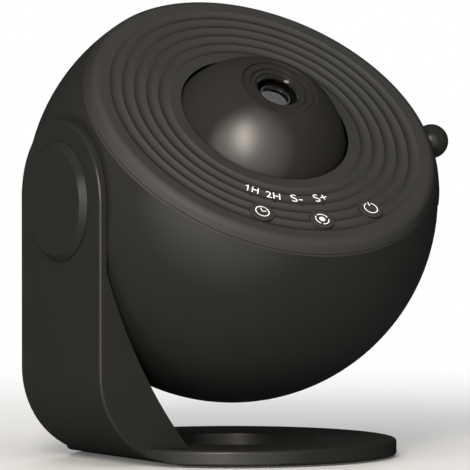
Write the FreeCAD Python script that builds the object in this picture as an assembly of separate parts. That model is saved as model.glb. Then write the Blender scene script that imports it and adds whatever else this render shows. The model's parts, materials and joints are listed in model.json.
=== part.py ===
import FreeCAD, Part
import math
import os

# Planetarium projector: a ball head on a one-armed stand.
# World frame, millimetres: +Z up, origin on the floor at the centre of the base ring,
# +X along the tilt pivot from the arm to the free side, -Y towards the user.
# Head frame: origin at the ball centre, +Z out of the front face, +Y to the top of the
# face, +X as in the world. place_head() turns head parts into the world frame.

Vec = FreeCAD.Vector

# ---- general ------------------------------------------------------------------------
EMBED = 0.5              # how far fused pieces reach into each other
RUN_FIT = 0.06           # radial clearance of a running fit
FIT = 0.05               # radial clearance of a seated round part
LOOSE = 0.3              # clearance between pieces that only pass each other
DRIVE_ROOM = 0.2         # free space beyond the end of a screw or a stem

# ---- ball ---------------------------------------------------------------------------
BALL_R = 67.0            # outside radius of the ball
BALL_WALL = 2.2          # moulded wall of the rear shell
FACE_TILT = 40.0         # lean of the front face back from the horizontal, degrees
FACE_Z = 33.5            # front face above the ball centre
SEAM_DROP = 4.1          # lower edge of the front cover, below the face
SEAM_GAP = 0.2           # shadow gap between cover and shell
FLAT_CUT = 6.4           # flat on the arm side, this far inside the ball
RIM_ROUND = 0.9          # fillet round the front face

# ---- front cover --------------------------------------------------------------------
COVER_T = 2.4            # plate behind the front face
GROOVE_COUNT = 5
GROOVE_DEPTH = 0.65
RIM_LAND = 5.1           # flat outside the outermost groove
DOME_LAND = 3.8          # flat inside the innermost groove
LIP_T = 1.5              # locating lip inside the rear shell
LIP_DROP = 2.2           # how far the lip reaches below the seam
LIP_CLEAR = 0.2
COLLAR_DROP = 2.4        # stiffening collar round the dome opening, below the plate
COLLAR_T = 1.6

# ---- projection dome (focus ring) ---------------------------------------------------
DOME_BAND = 27.5         # the dome's radius is this much less than the face's
DOME_RISE = 14.1         # flat lens ring above the face
DOME_TOP_R = 13.2        # outer radius of the lens ring
DOME_GAP = 1.0           # running gap round the dome
DOME_WALL = 2.0
DOME_TOP_ROUND = 0.5
FUNNEL_BORDER = 0.9      # lens ring outside the stepped funnel
FUNNEL_STEPS = 3
FUNNEL_SHRINK = 0.7      # width of each step as a share of the one outside it
FUNNEL_DEPTH = 1.1
DOME_TOP_T = 2.8         # thickness of the dome's top at the bore
DOME_RIM_GAP = 0.3       # dome rim above the lens deck

# ---- lens barrel and guide ----------------------------------------------------------
BARREL_R = 10.0
BARREL_BORE_R = 8.0
BARREL_SUNK = 5.6        # barrel's shoulder below the lens ring
BARREL_TAIL = 2.0        # barrel's rear end above the lens deck
BARREL_FRONT_T = 2.0     # front wall, between the bore and the nose
NOSE_H = 2.0             # nose round the front lens, above the shoulder
NOSE_T = 0.7             # wall round the front lens
NOSE_TIP_T = 0.4         # flat rim at the tip of the nose's cone
NOSE_CONE_H = 0.9
NOSE_ROOM = 0.6          # gap between the nose and the funnel's bore
BARREL_EYE_R = 4.6       # clear opening in front of the lens
EYE_LIP = 0.6            # lip that the front lens bears on, its width and thickness
COLLAR_H = 3.0           # focusing collar round the barrel
FOCUS_TRAVEL = 1.5       # each way
GUIDE_T = 2.0            # wall of the guide tube on the lens deck
GUIDE_H = 7.4            # guide tube above the lens deck
SLEEVE_T = 1.5           # wall of the dome's inner sleeve
SLEEVE_LAP = 4.0         # sleeve over guide tube
LENS_FRONT_RC = 20.0     # curvature of the front lens
LENS_EDGE = 1.9
SPACER_T = 1.0
SPACER_SHOULDER = 0.6    # spacer below the barrel's front wall
REAR_LENS_RC = 14.0
REAR_LENS_T = 1.0        # edge thickness of the rear lens
REAR_LENS_SUNK = 1.4     # its apex inside the barrel's end
RING_GAP = 1.2           # threaded ring to the rear lens's edge
COLLAR_ROOM = 1.0        # collar above the guide tube at the end of its travel

# ---- film tray ----------------------------------------------------------------------
TRAY_HALF_W = 24.4
TRAY_DROP = 8.9          # top of the tray below the face
TRAY_H = 6.0
TRAY_FLOOR_T = 1.5
TRAY_WALL = 2.0
TRAY_END_WALL = 10.0     # solid end that the knob screw passes through
TRAY_TRAVEL = 80.0       # pull
TRAY_HELD = 6.0          # length of runner left between the rails when pulled out
TRAY_CLEAR = 0.3         # gap to rails, deck and side walls
FRONT_HALF_W = 24.5      # half width of the tray front
FRONT_SKIRT = 2.2        # tray front below the tray's underside
FRONT_UNDER = 0.6        # tray front below the seam
FRONT_PROUD = 0.5        # tray front stands out of the ball by this
FRONT_T = 2.5
FRONT_SEAT = 0.1         # tray end to tray front
KNOB_R = 5.6
KNOB_STAND = 3.25        # knob centre beyond the tray front's surface
KNOB_DROP = 2.4          # knob centre below the top of the tray
KNOB_NECK_R = 3.2
KNOB_SCREW_R = 1.25
KNOB_HEAD_R = 2.0
KNOB_HEAD_H = 1.4
KNOB_GRIP = 2.0          # screw beyond the knob's centre
KNOB_POCKET_L = 6.0      # pocket in the tray for the knob screw's head
KNOB_POCKET_W = 6.0
CORE_SIZE = (9.0, 11.0)  # moulding cores in the tray's underside
CORE_DEPTH = 4.5
CORE_RIB = 1.6

# ---- film disc and its gear ---------------------------------------------------------
GEAR_MODULE = 1.0
ROTOR_TEETH = 43
PINION_TEETH = 12
ADDENDUM = 0.8           # stub teeth, in modules
DEDENDUM = 1.1
PRESSURE_ANGLE = 20.0
BACKLASH = 0.12          # thinning of each tooth at the pitch line
ROTOR_SPIGOT_R = 19.5
ROTOR_BORE_R = 17.0
ROTOR_RIM_T = 2.0
ROTOR_LIFT = 0.3         # rim above the tray floor
SEAT_CLEAR = 0.4         # tooth tips to the tray wall
FILM_R = 18.2
FILM_T = 0.8
CLIP_T = 0.6
CLIP_W = 1.0
CLIP_SPLIT = 3.0
PINION_T = 2.4
PINION_SHAFT_R = 1.0
PINION_ROOM = 2.0        # each side of the pinion, in the tray
RETAINER_T = 1.0
RETAINER_LAP = 2.2       # over the rotor's teeth

# ---- mid frame, lens deck, lamp -----------------------------------------------------
FRAME_R = 52.0
FRAME_DROP = 6.6         # mid frame's rear face below the tray's underside
FRAME_T = 2.0
FRAME_TO_CUP = 2.9       # straight edge beside the pivot, from the cup round it
FRAME_PAD_R = 6.0        # plate left round each screw
RAIL_START = 4.0         # rails begin this far inside the straight edge
RAIL_END = 0.6           # and end this far inside the round one
RAIL_W = 4.0
GUIDE_WALL = 2.0
LIGHT_HOLE_R = 14.0
DECK_T = 1.7
DECK_LAND = 3.8          # deck beyond the circle of its screws
DECK_BOSS_R = 2.6
LAMP_R = 17.0
LAMP_WALL = 2.0
LAMP_LENGTH = 26.0
CONDENSER_R = 14.9
CONDENSER_RC = 19.0
CONDENSER_EDGE = 1.5
LAMP_SHOULDER_W = 1.4
LAMP_SHOULDER_T = 2.0
LED_BOARD_T = 1.6
LED_SIZE = 5.0
LED_H = 0.7
LED_LENS_R = 2.2
SINK_R = 19.0
SINK_BASE_T = 2.5
SINK_ROOM = 2.8          # fins above the tallest part on the main board
SINK_FINS = 9
FIN_T = 1.2
MOTOR_R = 7.5
MOTOR_H = 13.0
MOTOR_BOSS_R = 2.6
MOTOR_BOSS_H = 0.6       # boss above the mid frame
MOTOR_BORE_DEPTH = 9.5

# ---- front posts, screws and boards -------------------------------------------------
POST_R = 3.6
POST_ROOM = 2.2          # post to the tray's side wall
TUNNEL_R = 4.4
SCREW_R = 1.4
SCREW_HOLE_CLEAR = 0.1
SCREW_HEAD_R = 2.6
SCREW_HEAD_CLEAR = 0.2
SCREW_HEAD_H = 2.0
CROSS_R = 1.5
CROSS_W = 0.7
CROSS_DEPTH = 1.0
SCREW_GRIP = 12.0        # thread length inside the front post
TUNNEL_FLOOR_T = 4.0
SMALL_SCREW_R = 1.0
SMALL_HEAD_R = 1.9
SMALL_HEAD_H = 1.0
SMALL_GRIP = 3.4
BOARD_T = 1.6
BOARD_LIFT = 18.8        # rear face of the main board above the shell's inner pole
BOARD_EDGE_CLEAR = 5.6   # main board to the shell
BOARD_BOSS_R = 2.8
BOARD_SCREW_INSET = 7.0  # screws inside the board's edge
BOARD_SCREW_ANGLES = (30, 150, 270)
BOARD_CHIPS = (          # x, y, width, depth, height
    (-14, -20, 8, 8, 1.2), (9, -21, 10, 10, 3.5), (-25, 2, 6, 12, 2.0))
BOARD_CANS = ((22, -8), (24, 3))
CAN_R = 3.2
CAN_H = 6.5

# ---- socket and vents on the back ----------------------------------------------------
SOCKET_Y = 30.0
SOCKET_LENGTH = 8.9
SOCKET_WIDTH = 3.2
SOCKET_WALL = 0.35
SOCKET_DEPTH = 6.5
TONGUE_WIDTH = 6.6
TONGUE_T = 0.7
TONGUE_SUNK = 1.0
PORT_CLEAR = 0.3         # round the socket
PORT_LENGTH = 14.5       # recess that takes the plug's grip
PORT_WIDTH = 8.6
PORT_SUNK = 3.3          # depth of that recess at the middle
PORT_WALL = 2.2
VENT_COUNT = 7
VENT_WIDTH = 2.0
VENT_PITCH = 4.4
VENT_FIELD_R = 17.0
VENT_Y = -8.0

# ---- buttons ------------------------------------------------------------------------
BUTTON_R = 4.1
BUTTON_CLEAR = 0.1
BUTTON_INSET = 10.5      # button centres inside the rim
BUTTON_SPREAD = 25.0     # degrees between neighbouring buttons
BUTTON_PROUD = 0.25      # above the front face
BUTTON_TRAVEL = 0.6
BUTTON_ROUND = 0.2
BUTTON_FLANGE = 0.9      # width of the flange below the cover
BUTTON_FLANGE_T = 0.8
BUTTON_REST_GAP = 0.3    # flange below the cover plate
STEM_R = 1.65
STEM_LENGTH = 1.2
SWITCH_W = 6.0
SWITCH_H = 2.6
WELL_DEPTH = 1.4
KEY_BOARD_GAP = 0.8      # board to the lens deck
KEY_BOARD_EDGE = 2.0     # board to the cover's lip
KEY_BOARD_ANGLE = 76.0
KEY_BOSS_R = 2.3
KEY_BOSS_STEP = 1.5      # board screws outside the circle of the buttons
INDICATOR_INSET = 1.8    # light pins outside the board's inner edge
INDICATOR_ANGLES = (-120.5, -109.4, -95.8, -84.6)
INDICATOR_R = 0.6
INDICATOR_SUNK = 0.3
INDICATOR_STRIP_T = 0.8
INDICATOR_STRIP_W = 2.0
INDICATOR_END = 2.0      # strip beyond the end pins, degrees
LED_CHIP = 1.6
LED_CHIP_H = 0.8

# ---- pivot --------------------------------------------------------------------------
ARM_GAP = 0.5            # arm to the ball's flat
ARM_T = 2.6
ARM_HALF_W = 26.3
HUB_R = 16.5             # arm's inner hub
HUB_REACH = 5.5          # hub beyond the arm's inner plane
HUB_FLOOR_T = 3.6
COUNTERBORE_R = 15.0
HUB_CLEAR = 0.8          # hub to the recess in the ball, radial
HUB_END_CLEAR = 0.5
BUSH_R = 6.0
BUSH_FLANGE_R = 9.0
BUSH_FLANGE_T = 2.0
BUSH_SUNK = 0.1          # bush end below the washers' seat, so that the washers grip
WASHER_BORE_R = 6.3
FRICTION_WASHER_R = 11.0
FRICTION_WASHER_T = 0.6
WAVE_WASHER_R = 10.5
WAVE_WASHER_T = 1.1
PIVOT_HEAD_R = 10.0
PIVOT_HEAD_T = 1.4
PIVOT_SHANK_R = 2.4
PIVOT_END = 1.0          # thread beyond the nut
DRIVE_SLOT_W = 1.2
DRIVE_SLOT_L = 10.0
DRIVE_SLOT_DEPTH = 0.8
PIVOT_NUT_R = 5.0
PIVOT_NUT_T = 3.5
CAP_R = 19.3
CAP_RAISE = 2.5
CAP_CHAMFER = 1.9
CAP_WALL = 1.5
CAP_SPIGOT_T = 1.2
CAP_SPIGOT_DEPTH = 1.4

# ---- stand --------------------------------------------------------------------------
FOOT_GAP = 0.4           # shell above the floor
BASE_TOP_Z = 5.5
BASE_R = 53.6
BASE_HOLE_R = 27.4
BASE_ROUND = 0.9
BALL_GAP = 11.7          # under the ball
BEND_FLAT = 3.4          # bottom of the base, from its hole's wall to the start of the bend
WEB_FOOT_IN = 29.9       # web meets the base top this far inside the arm
WEB_MID_IN = 11.1
WEB_MID_DROP = 49.3      # middle of the web's face below the ball centre
WEB_TOP_DROP = 21.4      # web begins this far below the ball centre
WEB_TOP_ROUND = 4.0
ARM_ROUND = 0.9          # outer edges of the arm
DISH_CLEAR = 1.0         # arm and web clear the turning ball by this
BASE_RIM_WALL = 3.5
BASE_HOLE_WALL = 3.8
BASE_TOP_WALL = 1.7
COVER_PLATE_T = 1.6
POCKET_STEP = 3.4        # straight side of the base pocket, beyond the bend's start
POCKET_CLEAR = 0.3
FOOT_T = 0.8
FOOT_INSET = 2.4
BASE_SCREW_ANGLES = (-120.0, -40.0, 40.0, 120.0)
BASE_BOSS_R = 2.4
BASE_SCREW_R = 0.9
BASE_HEAD_R = 1.7
BASE_HEAD_H = 0.8


def sphere_r(radius, z, centre=0.0):
    """Distance from the axis to a sphere's surface at height z."""
    return math.sqrt(radius ** 2 - (z - centre) ** 2)


# ---- worked out from the values above ------------------------------------------------
CENTRE_Z = BASE_TOP_Z + BALL_GAP + BALL_R
BALL_IN_R = BALL_R - BALL_WALL
FACE_R = sphere_r(BALL_R, FACE_Z)             # rim of the front face
SEAM_Z = FACE_Z - SEAM_DROP
PLATE_Z = FACE_Z - COVER_T                    # back of the front cover's plate
TRAY_TOP_Z = FACE_Z - TRAY_DROP
TRAY_BOTTOM_Z = TRAY_TOP_Z - TRAY_H
FRONT_Z0 = TRAY_BOTTOM_Z - FRONT_SKIRT
FRONT_Z1 = SEAM_Z - FRONT_UNDER
KNOB_Z = TRAY_TOP_Z - KNOB_DROP
DECK_Z0 = TRAY_TOP_Z + TRAY_CLEAR
DECK_Z1 = DECK_Z0 + DECK_T
FRAME_Z0 = TRAY_BOTTOM_Z - FRAME_DROP
FRAME_Z1 = FRAME_Z0 + FRAME_T
TRAY_FLOOR_Z = TRAY_BOTTOM_Z + TRAY_FLOOR_T
PITCH = GEAR_MODULE / 2.0
ROTOR_TIP_R = PITCH * ROTOR_TEETH + ADDENDUM * GEAR_MODULE
GEAR_CENTRES = PITCH * (ROTOR_TEETH + PINION_TEETH)
ROTOR_Z0 = TRAY_FLOOR_Z + ROTOR_LIFT
ROTOR_Z1 = ROTOR_Z0 + ROTOR_RIM_T
SEAT_R = ROTOR_TIP_R + SEAT_CLEAR
GUIDE_R = BARREL_R + RUN_FIT + GUIDE_T
GUIDE_TOP_Z = DECK_Z1 + GUIDE_H
FLAT_X = BALL_R - FLAT_CUT                    # flat on the arm side, from the ball centre
ARM_IN_X = FLAT_X + ARM_GAP
ARM_X = ARM_IN_X + ARM_T
HUB_END_X = ARM_IN_X - HUB_REACH
RECESS_R = HUB_R + HUB_CLEAR
RECESS_X = HUB_END_X - HUB_END_CLEAR          # floor of the recess in the ball
SEAT_X = HUB_END_X + HUB_FLOOR_T              # floor of the arm's counterbore
CUP_X = RECESS_X - BALL_WALL                  # inner end of the cup round the pivot
WALL_OUT_Y = TRAY_HALF_W + TRAY_CLEAR + GUIDE_WALL
POST_XY = WALL_OUT_Y + POST_R + POST_ROOM     # posts at plus and minus this in X and Y
FRAME_CUT_X = FRAME_TO_CUP - CUP_X
RAIL_X0 = FRAME_CUT_X + RAIL_START
RAIL_X1 = sphere_r(FRAME_R, WALL_OUT_Y) - RAIL_END
TRAY_TAIL_X = RAIL_X1 - TRAY_HELD - TRAY_TRAVEL
DOME_R = FACE_R - DOME_BAND                   # outside radius of the dome
DOME_TOP_Z = FACE_Z + DOME_RISE
DOME_Z = DOME_TOP_Z - math.sqrt(DOME_R ** 2 - DOME_TOP_R ** 2)
DOME_RIM_Z = DECK_Z1 + DOME_RIM_GAP
DOME_HOLE_R = DOME_R + DOME_GAP               # hollow sphere that the dome turns in
COLLAR_Z = PLATE_Z - COLLAR_DROP
COLLAR_R = sphere_r(DOME_HOLE_R, COLLAR_Z, DOME_Z) + COLLAR_T
GROOVE_OUT_R = FACE_R - RIM_LAND
GROOVE_IN_R = sphere_r(DOME_HOLE_R, FACE_Z, DOME_Z) + DOME_LAND
GROOVE_PITCH = (GROOVE_OUT_R - GROOVE_IN_R) / GROOVE_COUNT
LIP_OUT_R = sphere_r(BALL_IN_R, SEAM_Z) - LIP_CLEAR
LIP_IN_R = LIP_OUT_R - LIP_T
DECK_SCREW_PCD_R = COLLAR_R + DECK_BOSS_R - EMBED
DECK_R = DECK_SCREW_PCD_R + DECK_LAND
BARREL_Z0 = DECK_Z1 + BARREL_TAIL
BARREL_Z1 = DOME_TOP_Z - BARREL_SUNK
BARREL_WALL_Z = BARREL_Z1 - BARREL_FRONT_T
NOSE_Z = BARREL_Z1 + NOSE_H
LENS_SEAT_Z = NOSE_Z - EYE_LIP
NOSE_BORE_R = BARREL_EYE_R + EYE_LIP
NOSE_R = NOSE_BORE_R + NOSE_T
PUPIL_R = NOSE_R + NOSE_ROOM                      # bore at the bottom of the funnel
BUTTON_PCD_R = FACE_R - BUTTON_INSET
BUTTON_ANGLES = (-90.0 - BUTTON_SPREAD, -90.0, -90.0 + BUTTON_SPREAD)
FLANGE_Z1 = PLATE_Z - BUTTON_REST_GAP
FLANGE_Z0 = FLANGE_Z1 - BUTTON_FLANGE_T
SWITCH_Z1 = FLANGE_Z0 - BUTTON_TRAVEL - DRIVE_ROOM
KEY_BOARD_Z1 = SWITCH_Z1 - SWITCH_H
KEY_BOARD_Z0 = KEY_BOARD_Z1 - BOARD_T
KEY_BOARD_IN_R = DECK_R + KEY_BOARD_GAP
KEY_BOARD_OUT_R = LIP_IN_R - KEY_BOARD_EDGE
KEY_BOSS_PCD_R = BUTTON_PCD_R + KEY_BOSS_STEP
INDICATOR_PCD_R = KEY_BOARD_IN_R + INDICATOR_INSET
LAMP_Z0 = FRAME_Z0 - LAMP_LENGTH
LED_BOARD_Z0 = LAMP_Z0 - LED_BOARD_T
SINK_TOP_Z = LED_BOARD_Z0
TUNNEL_TOP_Z = FRAME_Z0
MAIN_BOARD_Z = BOARD_LIFT - BALL_IN_R         # rear face of the main board
MAIN_BOARD_R = sphere_r(BALL_IN_R, MAIN_BOARD_Z) - BOARD_EDGE_CLEAR
BOARD_SCREW_PCD_R = MAIN_BOARD_R - BOARD_SCREW_INSET
SINK_END_Z = MAIN_BOARD_Z + BOARD_T + CAN_H + SINK_ROOM
PORT_FLOOR_Z = PORT_SUNK - sphere_r(BALL_R, SOCKET_Y)
BEND_X = BASE_HOLE_R + BASE_HOLE_WALL + BEND_FLAT
BEND_R = ARM_X - BEND_X                       # outer radius of the bend
POCKET_X = -(BEND_X + POCKET_STEP)


# ---- plain shapes --------------------------------------------------------------------
def rod(radius, z0, z1, x=0.0, y=0.0):
    return Part.makeCylinder(radius, z1 - z0, Vec(x, y, z0))


def tube(r_out, r_in, z0, z1, x=0.0, y=0.0):
    return rod(r_out, z0, z1, x, y).cut(rod(r_in, z0 - 1, z1 + 1, x, y))


def sector(start, angle, z0, z1):
    """Slice of a disc as wide as the ball, from a start angle in degrees."""
    wedge = Part.makeCylinder(BALL_R, z1 - z0, Vec(0, 0, z0), Vec(0, 0, 1), angle)
    wedge.rotate(Vec(0, 0, 0), Vec(0, 0, 1), start)
    return wedge


def x_rod(radius, x0, x1):
    return Part.makeCylinder(radius, x1 - x0, Vec(x0, 0, 0), Vec(1, 0, 0))


def x_tube(r_out, r_in, x0, x1):
    return x_rod(r_out, x0, x1).cut(x_rod(r_in, x0 - 1, x1 + 1))


def block(x0, x1, y0, y1, z0, z1):
    return Part.makeBox(x1 - x0, y1 - y0, z1 - z0, Vec(x0, y0, z0))


def ball(radius, z=0.0):
    return Part.makeSphere(radius, Vec(0, 0, z))


def fuse(first, *others):
    return first.multiFuse(list(others)).removeSplitter()


def polar(radius, degrees):
    a = math.radians(degrees)
    return radius * math.cos(a), radius * math.sin(a)


def face_of(start, steps):
    """Flat face in the XZ plane. A step is (x, z), or (middle, end) for an arc."""
    here, edges = Vec(start[0], 0, start[1]), []
    for step in steps:
        if isinstance(step[0], tuple):
            middle, end = (Vec(p[0], 0, p[1]) for p in step)
            edges.append(Part.Arc(here, middle, end).toShape())
        else:
            end = Vec(step[0], 0, step[1])
            edges.append(Part.LineSegment(here, end).toShape())
        here = end
    return Part.Face(Part.Wire(edges))


def turned(start, steps):
    """Solid turned about the Z axis from half a section (radius, z)."""
    return face_of(start, steps).revolve(Vec(0, 0, 0), Vec(0, 0, 1), 360)


def rounded(shape, radius, wanted):
    """Fillet the edges that wanted() picks."""
    return shape.makeFillet(radius, [e for e in shape.Edges if wanted(e)])


def at_height(z):
    return lambda e: all(abs(v.Z - z) < 1e-4 for v in e.Vertexes)


def far_side(shape):
    """Mirror image at the other side of the XZ plane."""
    return shape.mirror(Vec(0, 0, 0), Vec(0, 1, 0))


def copies(shape, places):
    return [shape.translated(Vec(x, y, 0)) for x, y in places]


def slot_block(length, width, z0, z1, y):
    """Slot with round ends, along X."""
    half = (length - width) / 2.0
    middle = block(-half, half, y - width / 2.0, y + width / 2.0, z0, z1)
    return fuse(middle, rod(width / 2.0, z0, z1, -half, y), rod(width / 2.0, z0, z1, half, y))


POSTS = [(sx * POST_XY, sy * POST_XY) for sx in (-1, 1) for sy in (-1, 1)]
DECK_SCREWS = [polar(DECK_SCREW_PCD_R, 45 + 90 * i) for i in range(4)]
BUTTONS = [polar(BUTTON_PCD_R, a) for a in BUTTON_ANGLES]
INDICATORS = [polar(INDICATOR_PCD_R, a) for a in INDICATOR_ANGLES]
KEY_SCREWS = [polar(KEY_BOSS_PCD_R, -90 + s * BUTTON_SPREAD / 2.0) for s in (-1, 1)]
BOARD_SCREWS = [polar(BOARD_SCREW_PCD_R, a) for a in BOARD_SCREW_ANGLES]


# ---- stand ---------------------------------------------------------------------------
def bend_start():
    return (-ARM_X, FOOT_GAP + BEND_R)


def bend_arc():
    """Arc of the outer bend, from the arm's outer plane down to the floor side."""
    cx, cz = -ARM_X + BEND_R, FOOT_GAP + BEND_R
    s = BEND_R * math.sqrt(0.5)
    return ((cx - s, cz - s), (cx, FOOT_GAP))


def arm_strip():
    """Arm, bend and web: a side outline as wide as the arm, rounded over the pivot."""
    top = CENTRE_Z + ARM_HALF_W
    web_mid = (WEB_MID_IN - ARM_IN_X, CENTRE_Z - WEB_MID_DROP)
    web_top = (-ARM_IN_X, CENTRE_Z - WEB_TOP_DROP)
    side = face_of(bend_start(), [
        bend_arc(), (0, FOOT_GAP), (0, BASE_TOP_Z), (WEB_FOOT_IN - ARM_IN_X, BASE_TOP_Z),
        (web_mid, web_top), (-ARM_IN_X, top), (-ARM_X, top), bend_start()])
    side.translate(Vec(0, -ARM_HALF_W, 0))
    strip = side.extrude(Vec(0, 2 * ARM_HALF_W, 0))
    strip = rounded(strip, WEB_TOP_ROUND, lambda e: at_height(web_top[1])(e))
    round_top = Part.makeCylinder(ARM_HALF_W, ARM_X + 1, Vec(-ARM_X - 1, 0, CENTRE_Z), Vec(1, 0, 0))
    below = block(-ARM_X - 1, 1, -ARM_HALF_W, ARM_HALF_W, 0, CENTRE_Z)
    strip = strip.common(fuse(round_top, below))
    outer = [e for e in strip.Edges if all(abs(v.X + ARM_X) < 1e-4 for v in e.Vertexes)
             and e.BoundBox.XLength < 1e-3]
    return strip.makeFillet(ARM_ROUND, outer)


def bend_envelope():
    """Everything inside the outer plane of the arm, the bend and the floor side."""
    far, high = 2 * BASE_R, CENTRE_Z + 2 * ARM_HALF_W
    side = face_of(bend_start(), [bend_arc(), (far, FOOT_GAP), (far, high), (-ARM_X, high), bend_start()])
    side.translate(Vec(0, -far, 0))
    return side.extrude(Vec(0, 2 * far, 0))


def base_disc():
    disc = tube(BASE_R, BASE_HOLE_R, FOOT_GAP, BASE_TOP_Z)
    round_edges = [e for e in disc.Edges if e.BoundBox.ZLength < 1e-3
                   and (e.BoundBox.XMax > BASE_HOLE_R + 1 or e.BoundBox.ZMin > FOOT_GAP + 1)]
    return disc.makeFillet(BASE_ROUND, round_edges)


def base_pocket_shape(grow, z0, z1):
    """Ring sector below the base; grow widens it all round."""
    ring = tube(BASE_R - BASE_RIM_WALL + grow, BASE_HOLE_R + BASE_HOLE_WALL - grow, z0, z1)
    return ring.common(block(POCKET_X - grow, BASE_R, -BASE_R, BASE_R, z0, z1))


def base_screw_places():
    middle = (BASE_R - BASE_RIM_WALL + BASE_HOLE_R + BASE_HOLE_WALL) / 2.0
    return [polar(middle, a) for a in BASE_SCREW_ANGLES]


def stand_shell():
    shell = fuse(arm_strip(), base_disc().common(bend_envelope()))
    shell = shell.cut(rod(BASE_HOLE_R, -1, BASE_TOP_Z + 1))
    dish = Part.makeSphere(BALL_R + DISH_CLEAR, Vec(0, 0, CENTRE_Z))
    dish = dish.common(block(-ARM_IN_X, BALL_R, -BALL_R, BALL_R, BASE_TOP_Z, CENTRE_Z + BALL_R))
    shell = shell.cut(dish)
    hub = x_rod(HUB_R, -ARM_IN_X - EMBED, -HUB_END_X).translated(Vec(0, 0, CENTRE_Z))
    shell = fuse(shell, hub)
    counterbore = x_rod(COUNTERBORE_R, -ARM_X - 1, -SEAT_X)
    bore = x_rod(BUSH_R + RUN_FIT, -ARM_X - 1, -HUB_END_X + 1)
    shell = shell.cut(fuse(counterbore, bore).translated(Vec(0, 0, CENTRE_Z)))
    pocket = base_pocket_shape(0.0, FOOT_GAP - 1, BASE_TOP_Z - BASE_TOP_WALL)
    shell = shell.cut(pocket)
    boss_z0 = FOOT_GAP + COVER_PLATE_T
    boss = rod(BASE_BOSS_R, boss_z0, BASE_TOP_Z - BASE_TOP_WALL + EMBED)
    pilot = rod(BASE_SCREW_R + FIT, boss_z0 - 1, BASE_TOP_Z - BASE_TOP_WALL)
    shell = fuse(shell, *copies(boss, base_screw_places()))
    return shell.cut(fuse(*copies(pilot, base_screw_places())))


def ballast_ring():
    z0 = FOOT_GAP + COVER_PLATE_T
    z1 = BASE_TOP_Z - BASE_TOP_WALL - FIT
    ring = base_pocket_shape(-POCKET_CLEAR, z0, z1)
    return ring.cut(fuse(*copies(rod(BASE_BOSS_R + POCKET_CLEAR, z0 - 1, z1 + 1), base_screw_places())))


def base_cover():
    z1 = FOOT_GAP + COVER_PLATE_T
    plate = base_pocket_shape(-POCKET_CLEAR, FOOT_GAP, z1)
    recess = base_pocket_shape(-FOOT_INSET, FOOT_GAP - 1, FOOT_T)
    plate = plate.cut(recess)
    hole = fuse(rod(BASE_SCREW_R + SCREW_HOLE_CLEAR, 0, z1 + 1),
                rod(BASE_HEAD_R + SCREW_HOLE_CLEAR, 0, FOOT_T + BASE_HEAD_H))
    return plate.cut(fuse(*copies(hole, base_screw_places())))


def base_screws():
    z0 = FOOT_T
    screw = fuse(rod(BASE_HEAD_R, z0, z0 + BASE_HEAD_H),
                 rod(BASE_SCREW_R, z0, BASE_TOP_Z - BASE_TOP_WALL - DRIVE_ROOM))
    return Part.makeCompound(copies(screw, base_screw_places()))


def foot_ring():
    return base_pocket_shape(-FOOT_INSET - FIT, 0.0, FOOT_T)


def pivot_cap():
    """Domed cover over the pivot screw, with a spigot that enters the counterbore."""
    outer, inner = -ARM_X - CAP_RAISE, -ARM_X
    cap = x_rod(CAP_R, outer, inner)
    cap = cap.makeChamfer(CAP_CHAMFER, [e for e in cap.Edges
                                        if abs(e.BoundBox.XMin - outer) < 1e-4 and e.BoundBox.XLength < 1e-3])
    cavity_r = COUNTERBORE_R - FIT - CAP_SPIGOT_T
    cap = cap.cut(x_rod(cavity_r, outer + CAP_WALL, inner + 1))
    spigot = x_tube(COUNTERBORE_R - FIT, cavity_r, inner, inner + CAP_SPIGOT_DEPTH)
    return fuse(cap, spigot)


# ---- pivot parts that turn with the head ----------------------------------------------
def pivot_bush():
    """Flanged bush: seated in the ball's wall, running in the arm's hub."""
    inside = -CUP_X
    flange = x_rod(BUSH_FLANGE_R, inside, inside + BUSH_FLANGE_T)
    bush = fuse(x_rod(BUSH_R, -SEAT_X + BUSH_SUNK, inside + BUSH_FLANGE_T), flange)
    return bush.cut(x_rod(PIVOT_SHANK_R + FIT, -ARM_X, inside + BUSH_FLANGE_T + 1))


def friction_washer():
    return x_tube(FRICTION_WASHER_R, WASHER_BORE_R, -SEAT_X - FRICTION_WASHER_T, -SEAT_X)


def wave_washer():
    x1 = -SEAT_X - FRICTION_WASHER_T
    return x_tube(WAVE_WASHER_R, WASHER_BORE_R, x1 - WAVE_WASHER_T, x1)


def pivot_screw():
    x1 = -SEAT_X - FRICTION_WASHER_T - WAVE_WASHER_T
    x0 = x1 - PIVOT_HEAD_T
    screw_end = -CUP_X + BUSH_FLANGE_T + PIVOT_NUT_T + PIVOT_END
    half_w, half_l = DRIVE_SLOT_W / 2, DRIVE_SLOT_L / 2
    slot = block(x0 - 1, x0 + DRIVE_SLOT_DEPTH, -half_w, half_w, -half_l, half_l)
    return fuse(x_rod(PIVOT_HEAD_R, x0, x1), x_rod(PIVOT_SHANK_R, x0, screw_end)).cut(slot)


def pivot_nut():
    x0 = -CUP_X + BUSH_FLANGE_T
    corners = [polar(PIVOT_NUT_R, 60 * i) for i in range(7)]
    wire = Part.makePolygon([Vec(x0, a, b) for a, b in corners])
    nut = Part.Face(wire).extrude(Vec(PIVOT_NUT_T, 0, 0))
    return nut.cut(x_rod(PIVOT_SHANK_R + FIT, x0 - 1, x0 + PIVOT_NUT_T + 1))


# ---- ball shells ---------------------------------------------------------------------
def ball_blank(radius, flat_x, top_z):
    return ball(radius).common(block(-flat_x, radius, -radius, radius, -radius, top_z))


def screw_tunnels(radius, z_top):
    return fuse(*copies(rod(radius, -BALL_R, z_top), POSTS))


def tray_notch():
    side = FRONT_HALF_W + TRAY_CLEAR
    return block(BALL_R / 2, BALL_R + 1, -side, side, FRONT_Z0 - TRAY_CLEAR, SEAM_Z + 1)


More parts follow.
